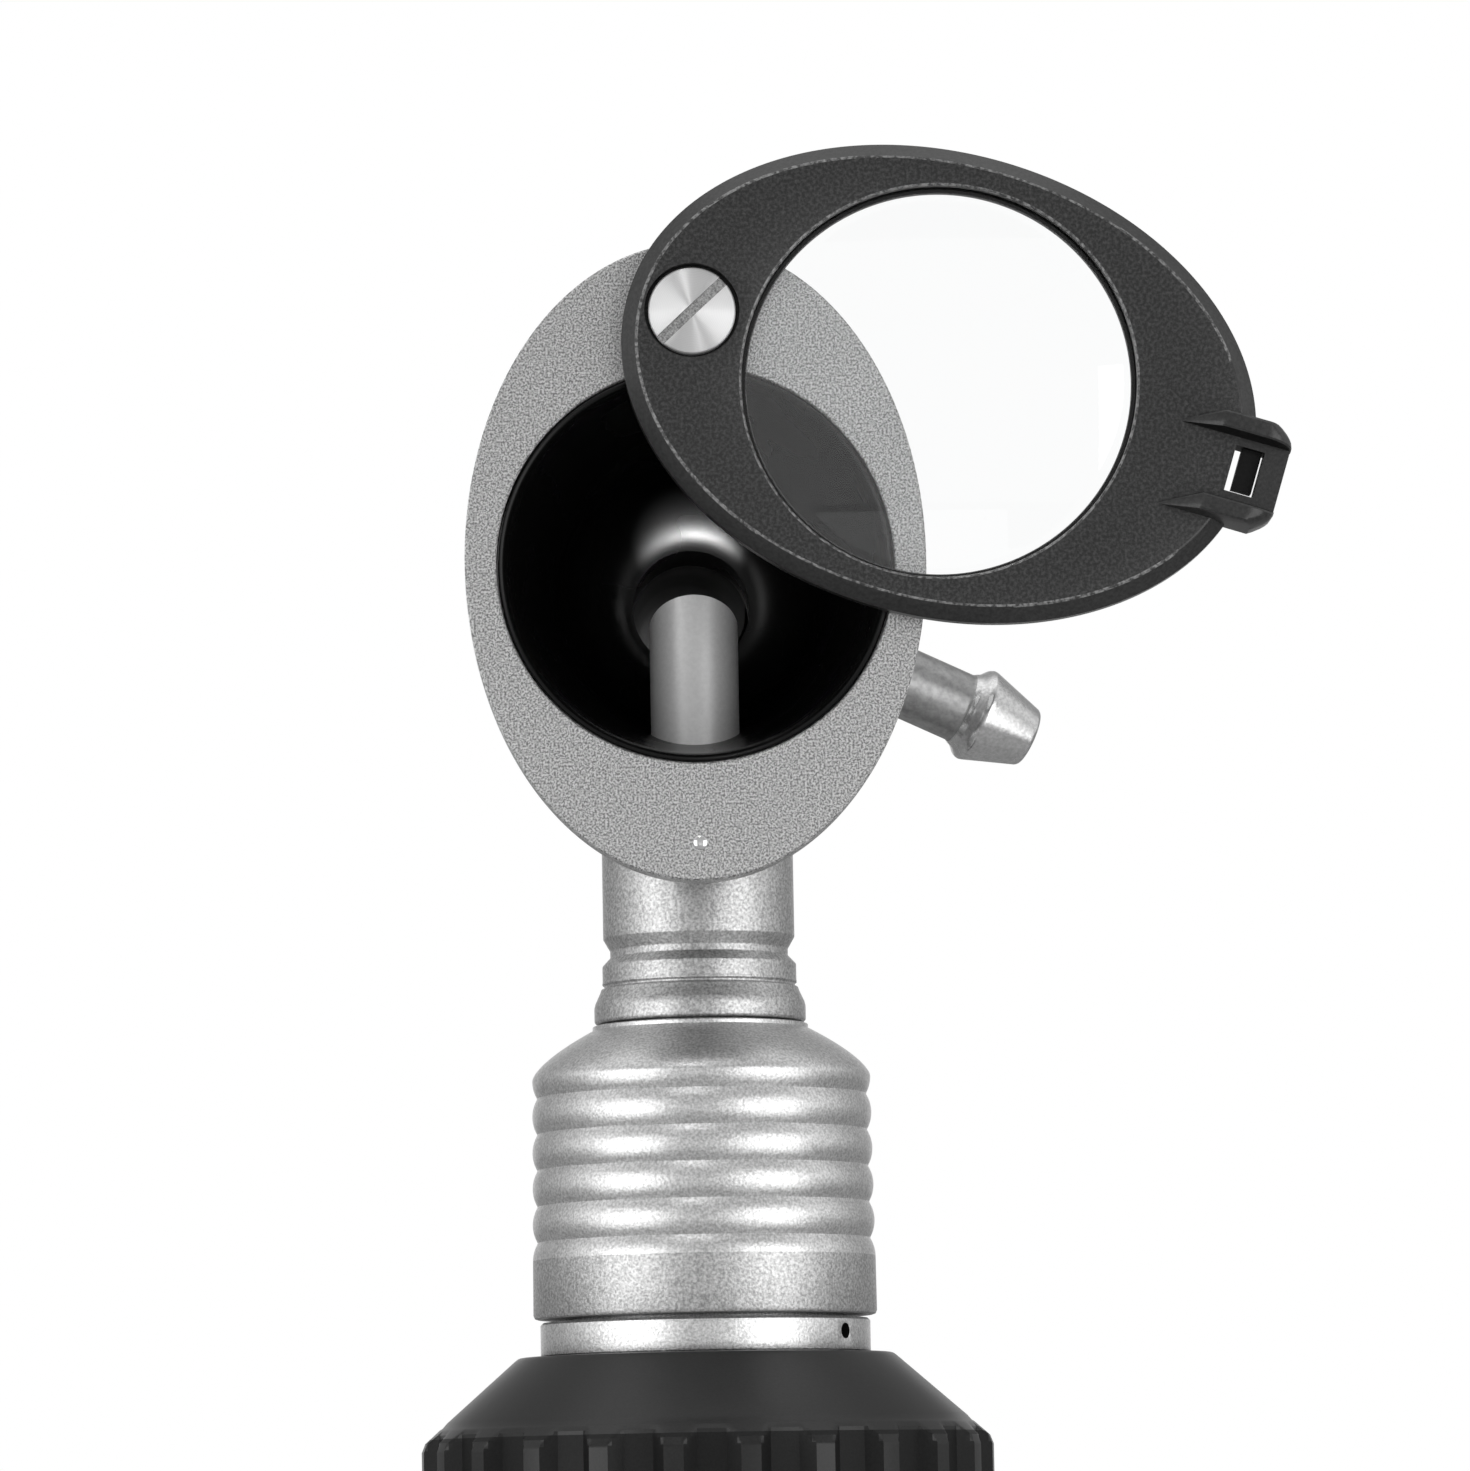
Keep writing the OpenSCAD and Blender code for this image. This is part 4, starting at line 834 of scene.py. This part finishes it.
def in_slot(centres, normals):
    """The slot's floor and walls: below the head's face and within half its width of the slot's line. They
    get the rough metal with painted shade.
    """
    _, across, height = from_pivot(centres, -slot_turn)
    wall = np.abs(normals[:, 1]) < 0.5
    return (height > head_top - slot_depth - 0.02) & (np.abs(across) < slot_w / 2 + 0.005) & (
        wall | (height < head_top - slot_depth + 0.1))


second_finish(pivot_screw, slot_finish_and_shade, in_slot)
stand_for(pivot_screw, "pivot_screw", "head")

# Coupling collar. A union nut turned from aluminium, with a plain band, five soft waves to grip and a
# shoulder that closes round the neck. Blasted and anodised, so that the light on its waves is soft.
collar_low, collar_high = np.array(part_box("coupling_collar")) / MM
collar_z, collar_h = collar_low[2], collar_high[2] - collar_low[2]
collar_r, band_h, rib_count, rib_pitch, bead_r, fillet_at = 10.0, 3.4, 5, 2.1, 2.0, 1.0
ribs_top = band_h + rib_count * rib_pitch
collar_lip_r = neck_r + 0.7


def wave_r(h):
    """Radius of the ribbed part, with a very slight taper.

    Each rib is an arc of bead_r about its crest, and from fillet_at on, a parabola rounds the groove.
    """
    aside = np.abs((h - band_h + rib_pitch / 2) % rib_pitch - rib_pitch / 2)
    arc = np.minimum(aside, fillet_at)
    slope = fillet_at / math.sqrt(bead_r ** 2 - fillet_at ** 2)
    past = aside - arc
    drop = bead_r - np.sqrt(bead_r ** 2 - arc ** 2) + slope * past * (1 - past / (rib_pitch - 2 * fillet_at))
    return collar_r - 0.02 - 0.01 * (h - band_h) - drop


wave_h = np.linspace(band_h, ribs_top, rib_count * 24 + 1)
rise = np.linspace(0, 1, 25)[1:]
shoulder = columns(collar_lip_r + (wave_r(ribs_top) - collar_lip_r) * (1 - rise ** 1.5),
                   ribs_top + (collar_h - ribs_top - 0.25) * rise)
thread_r, clip_room_h, clip_r = spigot_r + 2.7, 2.6, spigot_r + 1.3
collar_outline = np.concatenate([
    [[thread_r + run, 0], [collar_r - 0.25, 0], [collar_r - 0.08, 0.06], [collar_r, 0.25]],
    columns(wave_r(wave_h), wave_h), shoulder,
    [[collar_lip_r, collar_h - 0.05], [collar_lip_r - 0.06, collar_h], [spigot_r + run, collar_h],
     [spigot_r + run, collar_h - lip_h], [clip_r + 0.3, collar_h - lip_h],
     [clip_r + 0.3, collar_h - lip_h - clip_room_h], [thread_r + run, collar_h - lip_h - clip_room_h]]])
coupling_collar = add_piece("coupling_collar_waves", turned(collar_outline + [0, collar_z]), turned_metal)
second_finish(coupling_collar, band_metal, lambda centres, normals: centres[:, 2] < collar_z + band_h)
stand_for(coupling_collar, "coupling_collar", "collar")

# Coupling spigot. The handle's metal top: the thread for the collar, the narrow ring below it with one
# hole for a pin spanner, and the hub that the brightness ring turns on.
coupling_spigot = dressed("coupling_spigot", turned_metal, bevel=0.06)
spanner_hole_r, spanner_turn, seat_ring_r = 0.45, math.radians(-34), 9.6
spanner_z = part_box("brightness_ring")[1][2] / MM + 1.15


def in_spanner_hole(centres, normals):
    """The hole's floor and wall: inside the ring's rim, and close to the hole's own axis. They get the
    painted shade.
    """
    radial = np.array([math.cos(spanner_turn), math.sin(spanner_turn), 0])
    depth = centres @ radial
    aside = centres - depth[:, None] * radial - np.array([0, 0, spanner_z])
    return (depth > 6) & (depth < seat_ring_r - 0.02) & (
        np.linalg.norm(aside, axis=1) < spanner_hole_r + 0.06)


# Painted shade: the spanner hole is darkened inside.
second_finish(coupling_spigot, painted_shade_black, in_spanner_hole)
stand_for(coupling_spigot, "coupling_spigot", "handle")

# Brightness ring. Moulded in matt black: a smooth cone, and raised ridges round its side that end in
# small bevels where they come out of the cone.
ring_low, ring_high = np.array(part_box("brightness_ring")) / MM
ring_z, ring_h, ring_r = ring_low[2], ring_high[2] - ring_low[2], (ring_high[0] - ring_low[0]) / 2
ridge_count, ridge_h, cone_h = 24, 0.8, 4.2
valley_r, hub_r, web_t = ring_r - ridge_h, seat_ring_r - 0.6, 3.6
matt_black = grained("matt_black", 0.006, 0.010, 0.32, 0.38, 0.14, 0.004, Specular_IOR_Level=0.36)
ridge_root, ridge_top = math.pi * valley_r / ridge_count * 0.6, math.pi * ring_r / ridge_count * 0.26
ridges_z = ring_h - cone_h - 0.3
side_outline = softened([[valley_r - 0.3, 0], [valley_r, 0.3], [valley_r, ring_h - cone_h - 0.7],
                         [valley_r - 0.5, ring_h - cone_h + 0.3], [seat_ring_r + 1.4, ring_h - 0.1],
                         [seat_ring_r + 1.2, ring_h], [hub_r + run, ring_h], [hub_r + run, ring_h - web_t],
                         [hub_r + 2.4, ring_h - web_t], [valley_r - 1.3, ring_h - cone_h - 2],
                         [valley_r - 1.3, 0]], 0.3, 4)
limit = np.array([[0, 0], [valley_r - 0.3, 0.3], [ring_r - 0.4, 0.3], [ring_r, 0.8], [ring_r, ridges_z - 0.9],
                  [ring_r - 0.2, ridges_z - 0.4], [valley_r - 0.3, ridges_z + 0.4], [0, ridges_z + 0.5]])


def ridged(outline, samples=24):
    """Turns the side outline and raises the ridges on it.

    On the outer side, the radius is the larger of the plain outline and the ridge, where the ridge is
    the smaller of a trapezoid round the ring and a limit that bevels its two ends.
    """
    height = np.sort(np.concatenate([np.linspace(0.05, ridges_z + 0.5, 60), limit[2:7, 1]]))
    side = (outline[:, 0] > valley_r - 0.75) & (outline[:, 1] < ring_h - cone_h + 0.6)
    outer = np.argsort(outline[:, 1] + np.where(side, 0, 1e6))[:side.sum()]
    low, high = outline[outer[0]], outline[outer[-1]]
    keep = height[(height > low[1]) & (height < high[1])]
    wall = columns(np.interp(keep, outline[outer, 1], outline[outer, 0]), keep)
    start = np.flatnonzero(side)[-1] + 1
    rest = np.roll(outline, -start, axis=0)[:len(outline) - side.sum()]
    whole = np.concatenate([[low], wall, [high], rest])
    step = 2 * math.pi / ridge_count
    corner = np.array([ridge_top / ring_r, ridge_root / valley_r])
    share = np.concatenate([np.linspace(-corner[0], corner[0], samples // 3),
                            np.linspace(corner[0], corner[1], 5)[1:],
                            np.linspace(corner[1], step - corner[1], 5)[1:],
                            np.linspace(step - corner[1], step - corner[0], 5)[1:-1]])
    angle = ((np.arange(ridge_count)[:, None] + 0.5) * step + share[None, :]).ravel() - math.pi / 2
    fold = np.abs((np.tile(share, ridge_count) + step / 2) % step - step / 2)
    crest = np.interp(fold, corner, [ring_r, valley_r - 0.01])
    bevel = np.interp(whole[:, 1], limit[1:7, 1] + np.arange(6) * 1e-6, limit[1:7, 0], left=0, right=0)
    bevel[len(wall) + 2:] = 0
    radius = np.maximum(whole[:, :1], np.minimum(crest[None, :], bevel[:, None]))
    return columns(radius * np.cos(angle), radius * np.sin(angle), whole[:, 1:] + ring_z)


brightness_ring = add_piece("brightness_ring_fluted", ridged(side_outline), matt_black, sharp=24)
# Painted shade: the valleys between the ridges get a darker, rougher black than the ridges.
painted_valley_shade = grained("painted_valley_shade", 0.004, 0.007, 0.5, 0.6, 0.14, 0.004, Specular_IOR_Level=0.2)


def in_valley(centres, normals):
    """The walls and floors of the valleys between the ridges, which get the painted shade."""
    radius = np.hypot(centres[:, 0], centres[:, 1])
    radial = (centres[:, 0] * normals[:, 0] + centres[:, 1] * normals[:, 1]) / radius
    return (radius > valley_r - 0.2) & (centres[:, 2] < ring_z + ridges_z - 0.2) & (
        (radius < valley_r + 0.1) | (radial < 0.8)) & (centres[:, 2] > ring_z + 0.4)


second_finish(brightness_ring, painted_valley_shade, in_valley)
stand_for(brightness_ring, "brightness_ring", "ring")

# Handle barrel. Aluminium tube, coated in fine black, that holds the cells. Nine shallow round grooves
# in its upper half give the fingers a hold.
barrel_low, barrel_high = np.array(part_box("barrel")) / MM
barrel_r, barrel_wall, barrel_edge = (barrel_high[0] - barrel_low[0]) / 2, 1.2, 0.12
barrel_z, barrel_top = barrel_low[2], barrel_high[2]
barrel_black = grained("barrel_black", 0.018, 0.028, 0.34, 0.42, 0.13, 0.004)
groove_pitch, groove_count, groove_r, groove_out, cap_h = 2.4, 9, 0.65, 0.25, 14
groove_z = (cap_h + barrel_top + 1) / 2 + 24 + 0.02
groove_s = math.sqrt(groove_r ** 2 - groove_out ** 2) * np.linspace(-1, 1, 9)
groove_h = groove_z - np.arange(groove_count - 1, -1, -1)[:, None] * groove_pitch + groove_s
groove_at_r = barrel_r + groove_out - np.sqrt(groove_r ** 2 - groove_s ** 2)
grooves = columns(groove_at_r, groove_h).reshape(-1, 2)
inner_r, end_r = barrel_r - barrel_wall, barrel_r - barrel_edge
barrel_outline = np.concatenate([
    [[inner_r, barrel_z], [end_r, barrel_z], [barrel_r, barrel_z + barrel_edge]], grooves,
    [[barrel_r, barrel_top - barrel_edge], [end_r, barrel_top], [inner_r, barrel_top]]])
stand_for(add_piece("barrel_tube", turned(barrel_outline), barrel_black), "barrel", "handle")

# End cap. Turned aluminium with a rounded foot and a fine groove, screwed into the barrel's lower end.
# It keeps its solid's own shape.
stand_for(dressed("end_cap", turned_metal), "end_cap", "cap")

# Inner pieces. They only show when the part is taken apart, so they keep their solid's own shape and
# only get a material.
brass = grained("brass", (0.55, 0.42, 0.20), (0.70, 0.55, 0.28), 0.28, 0.36, 0.2, 0.002, metallic=1.0)
spring_steel = grained("spring_steel", 0.42, 0.52, 0.28, 0.36, 0.2, 0.002, metallic=1.0)
fibre = grained("fibre_board", (0.20, 0.12, 0.06), (0.30, 0.19, 0.10), 0.6, 0.7, 0.3, 0.006)
card = grained("sleeve_card", (0.48, 0.44, 0.34), (0.60, 0.56, 0.44), 0.7, 0.8, 0.3, 0.004)
cell_jacket = grained("cell_jacket", (0.10, 0.15, 0.22), (0.13, 0.19, 0.27), 0.3, 0.36, 0.3, 0.001)
rubber = grained("seal_rubber", 0.010, 0.018, 0.6, 0.7, 0.15, 0.003)
bulb_glass = lens_glass.copy()
bulb_glass.name = "bulb_glass"
inner = {brass: ("lamp_base", "contact_rod", "contact_plunger", "wiper_arm", "battery_contact"),
         spring_steel: ("collar_clip", "spring_washer", "plunger_spring", "friction_washer",
                        "resistance_winding", "battery_spring"),
         fibre: ("lamp_insulator", "plunger_guide", "resistor_former"),
         card: ("insulating_sleeve",),
         cell_jacket: ("battery_upper", "battery_lower"),
         rubber: ("cap_seal_ring",),
         bulb_glass: ("lamp_bulb",)}
for material, names in inner.items():
    for name in names:
        mesh = frame["nodes"][name].data
        mesh.materials.clear()
        mesh.materials.append(material)
